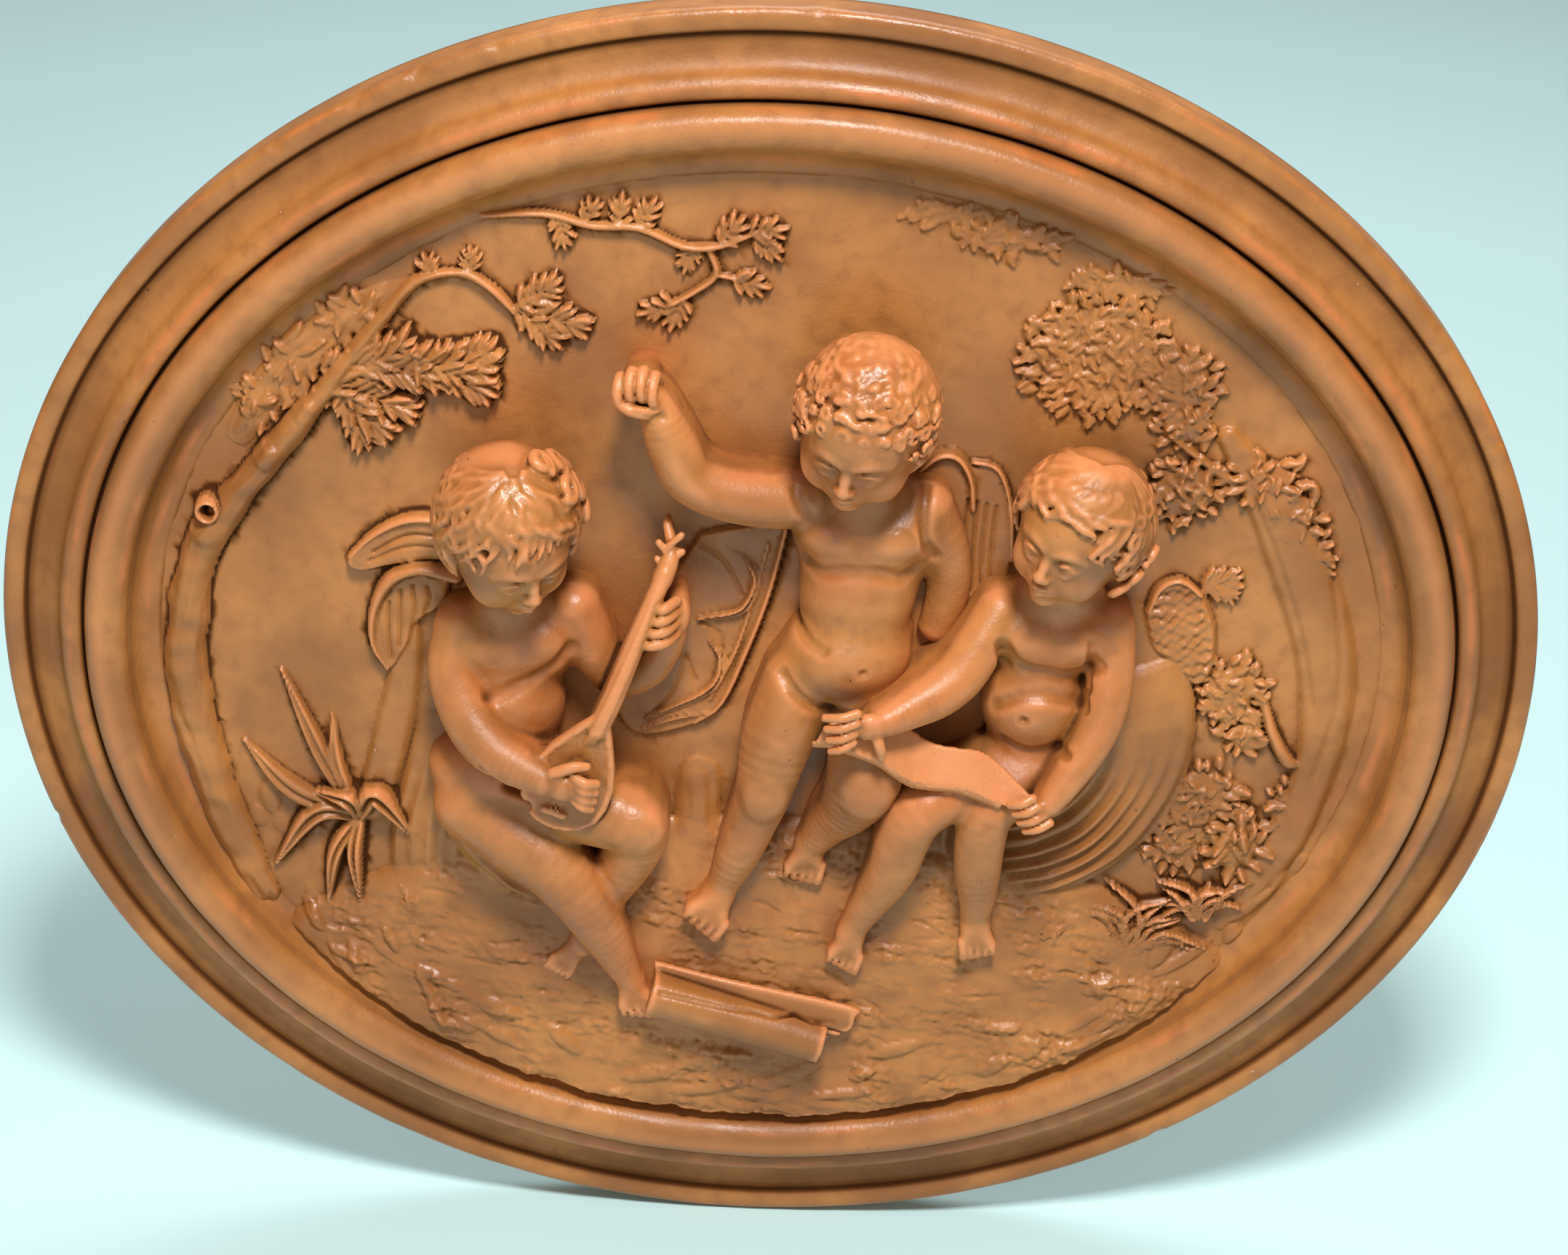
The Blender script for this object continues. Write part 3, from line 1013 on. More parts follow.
# %% Model the playing child
def playing_child():
    """The child on the left, with crossed legs and the lute."""
    clay = Clay((-148, -172, BACK), (-28, 112, 67.5))
    for mass in [
        ((-105, 9, 10), (29, 21, 20), 8, 9), ((-118, 10, 15), (12, 9, 13.5), -4, 8),
        ((-93, 14, 15), (12, 9, 13.5), 14, 8), ((-108, -20, 10), (24, 23, 21), 0, 8),
        ((-114, -54, 9), (28, 18, 21), -14, 8), ((-104, 26, 11), (18, 10, 11), 10, 9),
    ]:
        clay.ball(*mass)
    clay.limb([(-106, 42, 22, 11), (-106, 28, 15, 12)], 5)
    # The arm behind the lute's neck
    clay.limb([(-81, 25, 12, 12), (-72, 8, 13, 10.8), (-62, -4, 13, 9.6), (-50, 2, 17, 8.8),
               (-43, 13, 21, 7.4), (-40, 21, 24, 6.4)], 3.5)
    clay.ball((-38, 29, 26), (5.6, 9.5, 5.5), -8, 2)
    # Legs: the far one first, then the one that crosses it
    clay.limb([(-98, -60, 14, 16), (-76, -62, 22, 15.5), (-57, -64, 27, 15), (-52, -72, 26, 13.2),
               (-57, -88, 22, 11.5), (-65, -106, 17, 9.2), (-71, -122, 13, 7),
               (-75, -134, 12, 6)], 4)
    clay.knob((-51, -64, 35), (9, 9, 6), 0, 6)
    foot(clay, (-76, -134), 10, (-88, -142), (-80, -149), 12, 5)
    clay.limb([(-122, -66, 14, 17), (-106, -76, 21, 15.5), (-90, -86, 26, 14.5),
               (-78, -98, 28, 13.2), (-69, -114, 26, 11.2), (-62, -129, 22, 9), (-57, -141, 19, 7),
               (-54, -147, 18, 6.2)], 4.5)
    foot(clay, (-54, -147), 16, (-44, -157), (-57, -160), 20, 6.5)
    lute(clay)
    # The arm over the lute
    clay.limb([(-127, 15, 16, 11.5), (-129, -2, 22, 11), (-122, -19, 30, 11), (-112, -29, 37, 10.4),
               (-100, -34, 43, 8.8), (-90, -37, 47, 6.8)], 3.5)
    clay.knob((-82, -39, 49.5), (7.5, 5.8, 3.8), -12, 1.5)
    fingers(clay, ((-77, -34), (-77, -44)), ((-68, -37), (-70, -49)), 51, 2.3, 1.2)
    clay.rod([(-86, -33, 50, 2.8), (-78, -29, 51, 2.4), (-72, -29, 49.5, 1.9)], 0.8)
    # The gap below the forearm
    clay.scoop((-101, -52, 32), (8, 3.6, 12), -12, 2.5)
    # Fingers on the strings of the neck
    for step in range(4):
        z, x = 22.5 + 4.9 * step, -50 + 1.3 * step
        clay.rod([(-38, z + 1, 30, 2.3), (-42, z + 0.3, 38 - 0.6 * step, 2.3),
                  (x + 2, z - 0.5, 40 - step, 2.1), (x - 1.5, z - 1, 37 - step, 1.7)], 0.5, 3)
    # Folds of the skin
    clay.score([(-114, -9), (-108, -8), (-101, -4), (-94, 0), (-87, 5), (-81, 12)], 2.0, 1.3, 4)
    clay.score([(-116, -36), (-106, -42), (-96, -43)], 1.8, 1.2, 3)
    # The head has smooth locks, a fringe, ringlets at its sides and a knot of curls on the right
    head = Head(clay, (-106, 68, 35), (31, 35, 31), 32, 30, 8)
    rng = np.random.default_rng(3)
    head.ball(SKULL_MIDDLE + (0, 0.13, -0.08), (0.87, 0.78, 0.87), 0.08)
    for azimuth in np.arange(-176, 180, 7):
        end = 30 if abs(azimuth) < 45 else 2 if abs(azimuth) < 75 else -26
        head.lock((azimuth * 0.5 - 20, 80), (azimuth, end + rng.uniform(-6, 4)), 0.056, 8, 1.6,
                  0.07, rng.uniform(0, 6))
        if abs(azimuth) < 60:
            tip = (azimuth + rng.uniform(-5, 5), 16 + rng.uniform(-4, 12))
            head.lock((azimuth * 0.9 - 4, 52), tip, 0.052, 6, 0.8, 0.09, rng.uniform(0, 6))
    head.side_curls(rng, (30, 12, -6, -22), 18, 62, 0.14, 0.08)
    for azimuth, height in ((66, 44), (82, 26), (98, 48), (92, 66), (74, 6), (104, 22)):
        head.curl(azimuth, height, 0.18, 0.08, 1.2, 0.16, azimuth)
    return clay


model("playing_child", playing_child())


# %% [markdown]
# ## The landscape
#
# Everything behind the children is low and leaves its mould in one pull, so one sheet of heights
# holds it: out = f(x, z). A square grid is bent to the oval so that its sides become the rim, and
# each form raises the heights where it lies.

# %% A sheet of heights on an oval grid
class Sheet:
    """Heights from the field. A square's u and v become u sqrt(1 - v^2/2), v sqrt(1 - u^2/2)."""

    def __init__(self, across, up):
        """A flat sheet with so many places across and up."""
        u, v = np.meshgrid(np.linspace(-1, 1, across), np.linspace(-1, 1, up), indexing="ij")
        self.shape = u.shape
        self.x = (u * np.sqrt(1 - v ** 2 / 2) * (HALF_WIDTH - SHEET_INSET)).ravel()
        self.z = (v * np.sqrt(1 - u ** 2 / 2) * (HALF_HEIGHT - SHEET_INSET)).ravel()
        steep = np.hypot(self.x / HALF_WIDTH ** 2, self.z / HALF_HEIGHT ** 2)
        level = (self.x / HALF_WIDTH) ** 2 + (self.z / HALF_HEIGHT) ** 2
        # The way in from the outer edge: how far the level's root is from 1, over its steepness
        self.inset = (1 - np.sqrt(level)) * np.sqrt(level) / (steep + 1e-9)
        self.out = np.zeros(len(self.x))

    def near(self, points, margin):
        """Numbers of the places in the box round some points."""
        points = np.array([point[:2] for point in points], float)
        a, b = points.min(0) - margin, points.max(0) + margin
        return np.flatnonzero((self.x > a[0]) & (self.x < b[0]) & (self.z > a[1]) & (self.z < b[1]))

    def along(self, where, path):
        """For each place: distance to a path, side, length along it, and its values there."""
        lengths = np.append(0, np.cumsum(np.hypot(*np.diff(path[:, :2], axis=0).T)))
        best = np.full(len(where), 1e9)
        reach, side = np.zeros(len(where)), np.ones(len(where))
        px, pz = self.x[where], self.z[where]
        for i, (a, b) in enumerate(zip(path[:-1], path[1:])):
            dx, dz = b[0] - a[0], b[1] - a[1]
            t = np.clip(((px - a[0]) * dx + (pz - a[1]) * dz) / (dx * dx + dz * dz + 1e-9), 0, 1)
            gap = np.hypot(px - a[0] - t * dx, pz - a[1] - t * dz)
            closer = gap < best
            best = np.where(closer, gap, best)
            side = np.where(closer, np.sign((px - a[0]) * dz - (pz - a[1]) * dx), side)
            reach = np.where(closer, lengths[i] + t * (lengths[i + 1] - lengths[i]), reach)
        return best, side, reach, [np.interp(reach, lengths, column) for column in path.T[2:]]

    def trace(self, path, steps, margin=1):
        """Numbers of the places near a bent path, and where they lie along it."""
        path = bent(path, steps)
        half = path[:, 2].max() if path.shape[1] > 2 else 0
        where = self.near(path, half + margin)
        return (where, *self.along(where, path))

    def raise_to(self, where, inside, height, blend):
        """The larger of old and new height, with the corner filled over a width k."""
        where, height = where[inside], height[inside]
        old = self.out[where]
        mix = np.clip(0.5 + 0.5 * (height - old) / blend, 0, 1)
        self.out[where] = old + (height - old) * mix + blend * mix * (1 - mix) * 0.5

    def bar(self, path, blend=1.2, bark=0.0):
        """A round bar along (x, z, half width, out): out sqrt(1 - (d/w)^2). Bark runs along it."""
        where, d, side, reach, (w, top) = self.trace(path, 4)
        if bark:
            w = w * (1 + 0.09 * bark * waves(5, 6, 12, 40, self.x[where], self.z[where]))
        shape = np.sqrt(np.clip(1 - (d / w) ** 2, 0, 1)) * top
        if bark:
            ridges = waves(8, 7, 4.4, 10, side * d + 1.5 * np.sin(reach / 14), 0.16 * reach)
            knots = waves(9, 5, 12, 34, self.x[where], self.z[where])
            shape = shape + bark * (0.5 * ridges + 0.7 * knots) * np.clip(shape / top, 0, 1)
        self.raise_to(where, d < w, shape, blend)

    def strap(self, path, groove=0.35, edge=0.0, blend=0.4):
        """A long leaf along (x, z, half width, out): 1 - (d/w)^4, with a groove at its middle."""
        where, d, side, _, (w, top) = self.trace(path, 6)
        rim = 1 - np.clip(d / w, 0, 1) ** 4
        rib = 1 - groove * np.exp(-(d / (0.22 * w)) ** 2)
        tilt = 1 + edge * side * np.clip(d / w, 0, 1)
        self.raise_to(where, d < w, top * rim * rib * tilt, blend)

    def leaf(self, x, z, length, width, turn, lift):
        """A pointed leaf that rises to its tip: lift (0.7 + 0.3 u) (1 - e^2/2), e = v / half."""
        c, s = cos_sin(turn)
        where = self.near([(x, z), (x + length * c, z + length * s)], width)
        px, pz = self.x[where] - x, self.z[where] - z
        u, v = (px * c + pz * s) / length, -px * s + pz * c
        half = width * np.clip(np.sin(np.pi * np.clip(u, 0, 1) ** 0.9), 0, 1) ** 0.7
        e = v / (half + 1e-6)
        inside = (u > 0.01) & (u < 0.99) & (np.abs(e) < 1)
        self.raise_to(where, inside, lift * ((1 - 0.5 * e ** 2) * (0.7 + 0.3 * u)), 0.2)

    def mound(self, middle, half, top, seed):
        """A low swell with an uneven edge: top (1 - r^2)^0.4."""
        where = self.near([np.subtract(middle, half), np.add(middle, half)], 2)
        x, z = self.x[where], self.z[where]
        r = np.hypot((x - middle[0]) / half[0], (z - middle[1]) / half[1])
        r += 0.13 * waves(seed, 6, 5, 20, x, z)
        self.raise_to(where, r < 1, top * (1 - np.clip(r, 0, 1) ** 2) ** 0.4, 0.8)

    def patch(self, outline, top, bevel=1.0, blend=0.3, grain=None):
        """A flat form inside an outline: top, falling to nothing over a bevel at its edge."""
        outline = bent([*outline, outline[0]], 4)[:-1]
        where = self.near(outline, 3)
        px, pz = self.x[where], self.z[where]
        gap = inside_outline(outline, px, pz)
        height = top * np.clip(-gap / bevel + 0.5, 0, 1) ** 0.7
        if grain:
            height = height + grain(px, pz) * np.clip(-gap / bevel, 0, 1)
        self.raise_to(where, gap < bevel, height, blend)

    def sink(self, half, depth, *paths):
        """A groove along each path (x, z): depth exp(-(d/w)^2)."""
        for path in paths:
            where, d, *_ = self.trace(path, 5, 3 * half)
            self.out[where] -= depth * np.exp(-(d / half) ** 2)

    def folds(self, guide, reach, top, spacing, depth):
        """Cloth beside a guide line: a swell, and folds that grow deeper along the line."""
        where, d, _, along, _ = self.trace(guide, 6, reach + 1)
        away = d / reach
        warp = 0.9 * waves(61, 4, 30, 90, self.x[where], self.z[where])
        ridge = np.cos(2 * np.pi * (d + warp) / spacing)
        share = along / along.max()
        ends = np.clip(np.minimum(along, along.max() - along) / 18, 0, 1) ** 0.5
        swell = top * np.clip(1 - away ** 2, 0, 1) ** 0.45 * (0.35 + 0.65 * ends)
        height = swell + depth * np.clip(2.2 * share - 0.5, 0.06, 1) * ridge * (0.4 + 0.6 * ends)
        self.raise_to(where, away < 1, height, 2.0)


# Steps of the golden angle, in radians, spread leaves evenly over a round mound.
GOLDEN_ANGLE = 2.39996


def foliage(sheet, middle, half, leaf, lift, seed):
    """Small leaves laid like scales over an oval mound, from its edge up to its middle."""
    rng = np.random.default_rng(seed)
    sheet.mound(middle, (0.9 * half[0], 0.9 * half[1]), 0.6 * lift, seed)
    count = int(np.pi * half[0] * half[1] / (0.30 * leaf ** 2)) + 3
    for i in np.arange(count)[::-1]:
        angle, reach = i * GOLDEN_ANGLE, 0.95 * np.sqrt((i + 0.5) / count)
        x = middle[0] + half[0] * reach * np.cos(angle) + rng.uniform(-1, 1)
        z = middle[1] + half[1] * reach * np.sin(angle) + rng.uniform(-1, 1)
        outward = np.degrees(np.arctan2(z - middle[1], x - middle[0]))
        turn = rng.uniform(-180, 180) if reach < 0.7 else outward + rng.uniform(-80, 80)
        size = leaf * rng.uniform(0.7, 1.3)
        sheet.leaf(x, z, size, 0.24 * size + 0.4, turn,
                   lift * (1.05 - 0.4 * reach ** 2) * rng.uniform(0.8, 1.15))


def laurel(sheet, root, turn, length, leaf, lift, seed):
    """A twig with narrow leaves in pairs, and one at its tip."""
    rng = np.random.default_rng(seed)
    c, s = cos_sin(turn)

    def along(share):
        """The twig's place at a share of its length."""
        return root[0] + share * length * c, root[1] + share * length * s

    pairs = max(2, round(length / (0.30 * leaf)))
    sheet.bar([(*root, 1.2, 0.6 * lift), (*along(0.8), 0.8, 0.6 * lift)], 0.4)
    for share in np.arange(pairs) / pairs:
        for side in (-1, 1):
            size = leaf * (1 - 0.25 * abs(share - 0.5)) * rng.uniform(0.8, 1.1)
            sheet.leaf(*along(share), size, 0.17 * leaf,
                       turn + side * (52 - 26 * share) + rng.uniform(-9, 9),
                       lift * rng.uniform(0.75, 1.1))
    sheet.leaf(*along(0.75), leaf, 0.17 * leaf, turn, lift)


def tuft(sheet, root, count, length, from_turn, to_turn, lift, seed):
    """Blades of grass, fanned from one root and bending over."""
    rng = np.random.default_rng(seed)
    for turn in rng.permutation(np.linspace(from_turn, to_turn, count)):
        a = np.radians(turn + rng.uniform(-5, 5))
        r = length * rng.uniform(0.6, 1.05)
        bend = np.radians(rng.uniform(12, 40) * (1 if turn < 90 else -1))
        x, z = root[0] + rng.uniform(-5, 5), root[1] + rng.uniform(-2, 2)
        sheet.strap([(x, z, 1.5, lift),
                     (x + 0.55 * r * np.cos(a), z + 0.55 * r * np.sin(a), 1.6, lift),
                     (x + r * np.cos(a - bend), z + r * np.sin(a - bend), 0.5, lift * 0.6)], 0.15)


# %% Raise the ground
GROUND_MIDDLE, GROUND_HALF, GROUND_TOP = (0, -226), (258, 152), 16.5
GROUND_BEVEL = 3.5
STONES, STROKES = 64, 40


def raise_ground(sheet):
    """An oval swell at the foot, modelled in soft strokes, with stones along the rim."""
    x, z = sheet.x, sheet.z
    bulge = 1 - (x / GROUND_HALF[0]) ** 2 - ((z - GROUND_MIDDLE[1]) / GROUND_HALF[1]) ** 2
    swell = GROUND_TOP * np.sqrt(np.clip(bulge, 0, 1))
    # The edge wanders about a line 3 mm outside the place where the ground is full.
    edge = sheet.inset - GROUND_INSET + 3 - 0.7 * waves(21, 7, 8, 40, x, z)
    edge = np.clip(edge / GROUND_BEVEL, 0, 1)
    rise = np.clip(swell / 5, 0, 1)
    patchy = np.clip(0.55 + 0.6 * waves(26, 6, 22, 80, x, 1.5 * z), 0.1, 1.2)
    strokes = 0.6 * waves(22, 9, 8, 26, 0.55 * x + 0.3 * z, 1.7 * z - 0.3 * x)
    dabs = 0.36 * waves(23, 9, 3.4, 8, x, 1.4 * z)
    dabs = dabs + 0.5 * np.abs(waves(27, 8, 9, 30, x + z, 1.5 * z))
    ground = swell + rise * (0.8 * waves(24, 6, 30, 110, x, z) + patchy * (strokes + dabs))
    sheet.out = np.maximum(sheet.out, ground * edge * edge * (3 - 2 * edge))
    rng = np.random.default_rng(25)
    for _ in range(STONES):
        angle = np.radians(rng.uniform(204, 336))
        px, pz = oval_place(angle, GROUND_INSET + 5 + rng.uniform(0, 1) ** 1.6 * 26)
        turn = np.degrees(np.arctan2(pz, px)) + 90 + rng.uniform(-28, 28)
        c, s = cos_sin(turn)
        half = (rng.uniform(4, 16), rng.uniform(2.2, 5))
        where = sheet.near([(px, pz)], half[0])
        u = ((sheet.x[where] - px) * c + (sheet.z[where] - pz) * s) / half[0]
        v = (-(sheet.x[where] - px) * s + (sheet.z[where] - pz) * c) / half[1]
        bump = rng.uniform(0.8, 2.4) * np.clip(1 - u ** 2 - v ** 2, 0, 1) ** 0.6
        sheet.out[where] += bump * np.clip((sheet.inset[where] - GROUND_INSET - 1) / 4, 0, 1)
    for _ in range(STROKES):
        px, pz = rng.uniform(-190, 190), rng.uniform(-165, -70)
        if (px / 230) ** 2 + ((pz + 10) / 190) ** 2 > 0.9:
            continue
        length, lean = rng.uniform(7, 18), rng.uniform(-9, 3)
        sheet.sink(0.9, 0.8, [(px, pz), (px + length / 2, pz + lean * 0.3),
                              (px + length, pz + lean)])


# %% Grow the trees
def grow_trees(sheet):
    """Boughs are bars that taper, and each has its own leaves."""
    # The left tree: a faint bough behind, the trunk, its knots, a cut branch and the twigs
    sheet.bar([(-218, 92, 6, 1.5), (-203, 115, 9, 2.6), (-188, 131, 9, 2.6), (-168, 148, 6, 2.4),
               (-146, 160, 2, 1.5)], 3, 0.8)
    sheet.bar([(-216, -122, 9, 5), (-232, -76, 9, 7), (-243, -26, 9, 8.5), (-242, 10, 8.5, 9.5),
               (-236, 38, 8, 10), (-226, 56, 7.5, 10), (-212, 75, 6.5, 10), (-197, 94, 6, 10),
               (-185, 110, 5, 9.5), (-173, 126, 4.2, 8), (-159, 145, 3.2, 6.5),
               (-146, 160, 2.4, 5.5), (-129, 164, 2.2, 5), (-117, 159, 2.2, 5), (-107, 149, 2, 5)],
              2.5, 0.8)
    for x, z, r, top in ((-231, 50, 8, 11.5), (-206, 84, 6, 11.5), (-190, 104, 5.5, 11)):
        sheet.bar([(x - 1.5, z - 2, r, top), (x + 1.5, z + 2, r, top)], 2.5, 0.5)
    ring = np.linspace(0, 2 * np.pi, 9)
    sheet.bar(np.column_stack([-231 + 4.2 * np.cos(ring), 60 + 4.2 * np.sin(ring),
                               0 * ring + 1.8, 0 * ring + 13]), 0.8)
    for line in [
        [(-186, 110, 3.4, 8), (-172, 120, 2.6, 7), (-152, 126, 2, 6), (-134, 124, 1.6, 6)],
        [(-186, 112, 3, 8), (-174, 112, 2.4, 7), (-160, 104, 1.6, 6)],
        [(-120, 188, 1.4, 3), (-96, 190, 1.8, 4), (-76, 186, 2, 4.5), (-58, 186, 2, 4.5),
         (-40, 179, 1.9, 4.5), (-26, 180, 1.8, 4.5), (-12, 186, 1.4, 4)],
        [(-30, 178, 1.6, 4), (-27, 168, 1.6, 4), (-36, 160, 1.5, 4), (-46, 154, 1.3, 4)],
        [(-27, 168, 1.4, 4), (-16, 166, 1.1, 3)],
    ]:
        sheet.bar(line, 1.0, 0.2)
    for root, turn, length, leaf, lift in [
        ((-184, 121), 14, 30, 13, 8), ((-174, 122), 26, 26, 12, 8), ((-170, 124), -6, 30, 13, 9),
        ((-152, 126), -2, 34, 14, 9), ((-146, 127), -22, 30, 14, 9), ((-140, 126), 12, 24, 12, 8),
        ((-182, 114), -38, 30, 12, 8), ((-176, 112), -66, 22, 11, 7), ((-174, 114), -20, 26, 12, 8),
        ((-107, 150), -12, 28, 11, 6), ((-105, 152), 34, 15, 10, 6), ((-103, 148), -42, 15, 10, 6),
        ((-124, 165), 96, 6, 7, 4), ((-140, 162), 110, 6, 7, 4),
        ((-90, 190), -78, 10, 8, 5), ((-80, 187), 60, 7, 7, 4), ((-66, 187), 84, 8, 8, 4.5),
        ((-58, 187), 60, 8, 8, 4.5), ((-26, 181), 50, 9, 9, 5), ((-14, 186), 10, 9, 9, 5),
        ((-12, 184), -40, 9, 8, 5), ((-44, 155), 200, 9, 9, 5), ((-40, 157), 250, 9, 9, 5),
        ((-20, 166), -10, 9, 9, 4.5), ((-36, 179), 250, 8, 7, 4),
    ]:
        laurel(sheet, root, turn, length, leaf, lift, int(700 + root[0] + 3 * turn))
    for middle, half, leaf, lift in [
        ((-196, 122), (11, 12), 8, 5), ((-172, 143), (12, 8), 8, 4.5),
        ((-212, 104), (6, 10), 7, 4.5),
    ]:
        foliage(sheet, middle, half, leaf, lift, int(500 + middle[0] + 3 * middle[1]))
    # The right tree: a flat trunk with long grooves, a broken branch and a twig
    sheet.strap([(200, -118, 3, 1), (210, -100, 7, 3), (224, -74, 9, 4.5), (233, -38, 9.5, 4.5),
                 (234, -6, 12, 4.5), (229, 22, 13, 4.5), (216, 54, 13, 4), (200, 84, 10, 3.5),
                 (182, 108, 5, 3)], 0, 0, 1.6)
    sheet.sink(1.3, 1.0, [(184, 90), (199, 54), (213, 20), (220, -8), (223, -34)],
               [(190, 92), (206, 58), (220, 22), (228, -10)],
               [(213, 82), (228, 56), (236, 22), (238, -8), (232, -42)])
    sheet.bar([(208, -10, 2, 4), (213, -24, 2.6, 6), (220, -36, 3, 6), (226, -38, 1.6, 4)], 1, 0.4)
    sheet.bar([(158, 108, 1.2, 3), (172, 98, 1.8, 4), (184, 90, 2.2, 4)], 0.8, 0.2)
    for middle, half, leaf, lift in [
        ((126, 140), (31, 25), 6.5, 4.5), ((160, 130), (16, 14), 6.5, 4),
        ((164, 112), (11, 9), 6.5, 4.5), ((166, 84), (14, 14), 6.5, 6), ((198, 90), (15, 9), 7, 6),
        ((213, 76), (9, 9), 7, 6), ((224, 58), (5, 9), 6, 4.5), ((88, 188), (22, 6), 6, 2.6),
        ((60, 196), (16, 4), 5.5, 2), ((134, 170), (20, 5), 6, 2.8), ((194, -6), (13, 15), 6.5, 5),
        ((202, -26), (8, 8), 6.5, 5.5), ((184, -58), (19, 17), 6.5, 5),
        ((203, -78), (11, 13), 8, 8), ((222, -60), (6, 12), 6, 4.5), ((178, -80), (14, 9), 6, 4),
    ]:
        foliage(sheet, middle, half, leaf, lift, int(900 + middle[0] + 3 * middle[1]))
    for turn in (-24, -6, 12):
        laurel(sheet, (178, 44), turn, 12, 8, 3.5, 70 + turn)


# %% Grow the plants
def grow_plants(sheet):
    """Strap-like leaves from one root on the left, then tufts of grass."""
    root = (-172, -82)
    sheet.strap([(-148, 12, 2, 2), (-151, -8, 6.5, 3), (-158, -44, 8, 3.5), (-167, -78, 7, 4)],
                0.1, 0.12)
    for blade in [
        [(*root, 3, 4), (-188, -52, 4.5, 6), (-204, -14, 0.8, 2.5)],
        [(*root, 3, 4), (-181, -58, 3.5, 6), (-183, -34, 0.6, 2.5)],
        [(*root, 3, 4), (-200, -70, 5.5, 7), (-221, -48, 0.8, 2.5)],
        [(*root, 3, 5), (-190, -80, 5.5, 9), (-208, -106, 1, 4)],
        [(*root, 3, 6), (-182, -98, 3.8, 11), (-186, -124, 0.8, 5)],
        [(*root, 3, 6), (-174, -98, 3.8, 12), (-172, -122, 0.8, 6)],
        [(*root, 3, 6), (-176, -72, 5, 12), (-190, -70, 1, 6)],
        [(*root, 3, 6), (-164, -69, 6, 14), (-149, -90, 1, 6)],
    ]:
        sheet.strap(blade, 0.3)
    for grass in [
        ((160, -132), 17, 36, 15, 165, 8, 31), ((188, -112), 10, 26, 30, 150, 8, 32),
        ((122, -126), 9, 16, 30, 150, 11, 33), ((-146, -128), 9, 18, 40, 150, 9, 34),
        ((-28, -104), 8, 12, 40, 140, 7, 36),
    ]:
        tuft(sheet, *grass)


# %% Lay the papers
def lay_papers(sheet):
    """A sheet of paper is a low step over its outline, with a turned edge and two ribbons."""
    outline = [(-30, 56), (-14, 60), (4, 60), (-2, 30), (-10, 4), (-20, -22), (-30, -31),
               (-56, -36), (-62, -8)]
    sheet.patch(outline, 3.0, 0.9, 0.3, lambda x, z: 0.7 * np.sin((x + 0.6 * z) / 9))
    for path in [
        [(5, 61, 1.2, 5), (-1, 32, 1.5, 5.6), (-9, 6, 1.5, 5.6), (-19, -20, 1.5, 5.2),
         (-30, -30, 1.2, 4.4)],
        [(-2, 54, 0.9, 4.6), (-7, 30, 1, 5), (-14, 4, 1, 5), (-24, -19, 1, 4.8)],
    ]:
        sheet.bar(path, 0.5)
    for path in [
        [(-20, 52, 1, 4), (-10, 46, 1.8, 5.6), (-6, 36, 2.4, 6.4), (-12, 23, 2.4, 6.4),
         (-29, 18, 1.4, 4.6)],
        [(-25, 9, 1, 4), (-19, 0, 2.2, 6), (-24, -14, 2.4, 6.4), (-50, -29, 1.4, 4.6)],
        [(-52, -34, 1, 3.6), (-38, -27, 2, 5), (-22, -24, 1.2, 4.6)],
    ]:
        sheet.strap(path, 0.5, 0.3)
    sheet.sink(0.9, 1.0, [(-29, 17), (-20, 10), (-19, -2)], [(-32, 52), (-20, 45), (-12, 30)],
               [(-50, -30), (-40, -16), (-34, 2)], [(-46, 6), (-36, 2), (-30, -10)])


# %% [markdown]
# A wing is a low plate with a rounded bar along its front, and grooves part its feathers. Cloth
# hangs in folds that run beside the body: the height waves with the distance from a guide line.

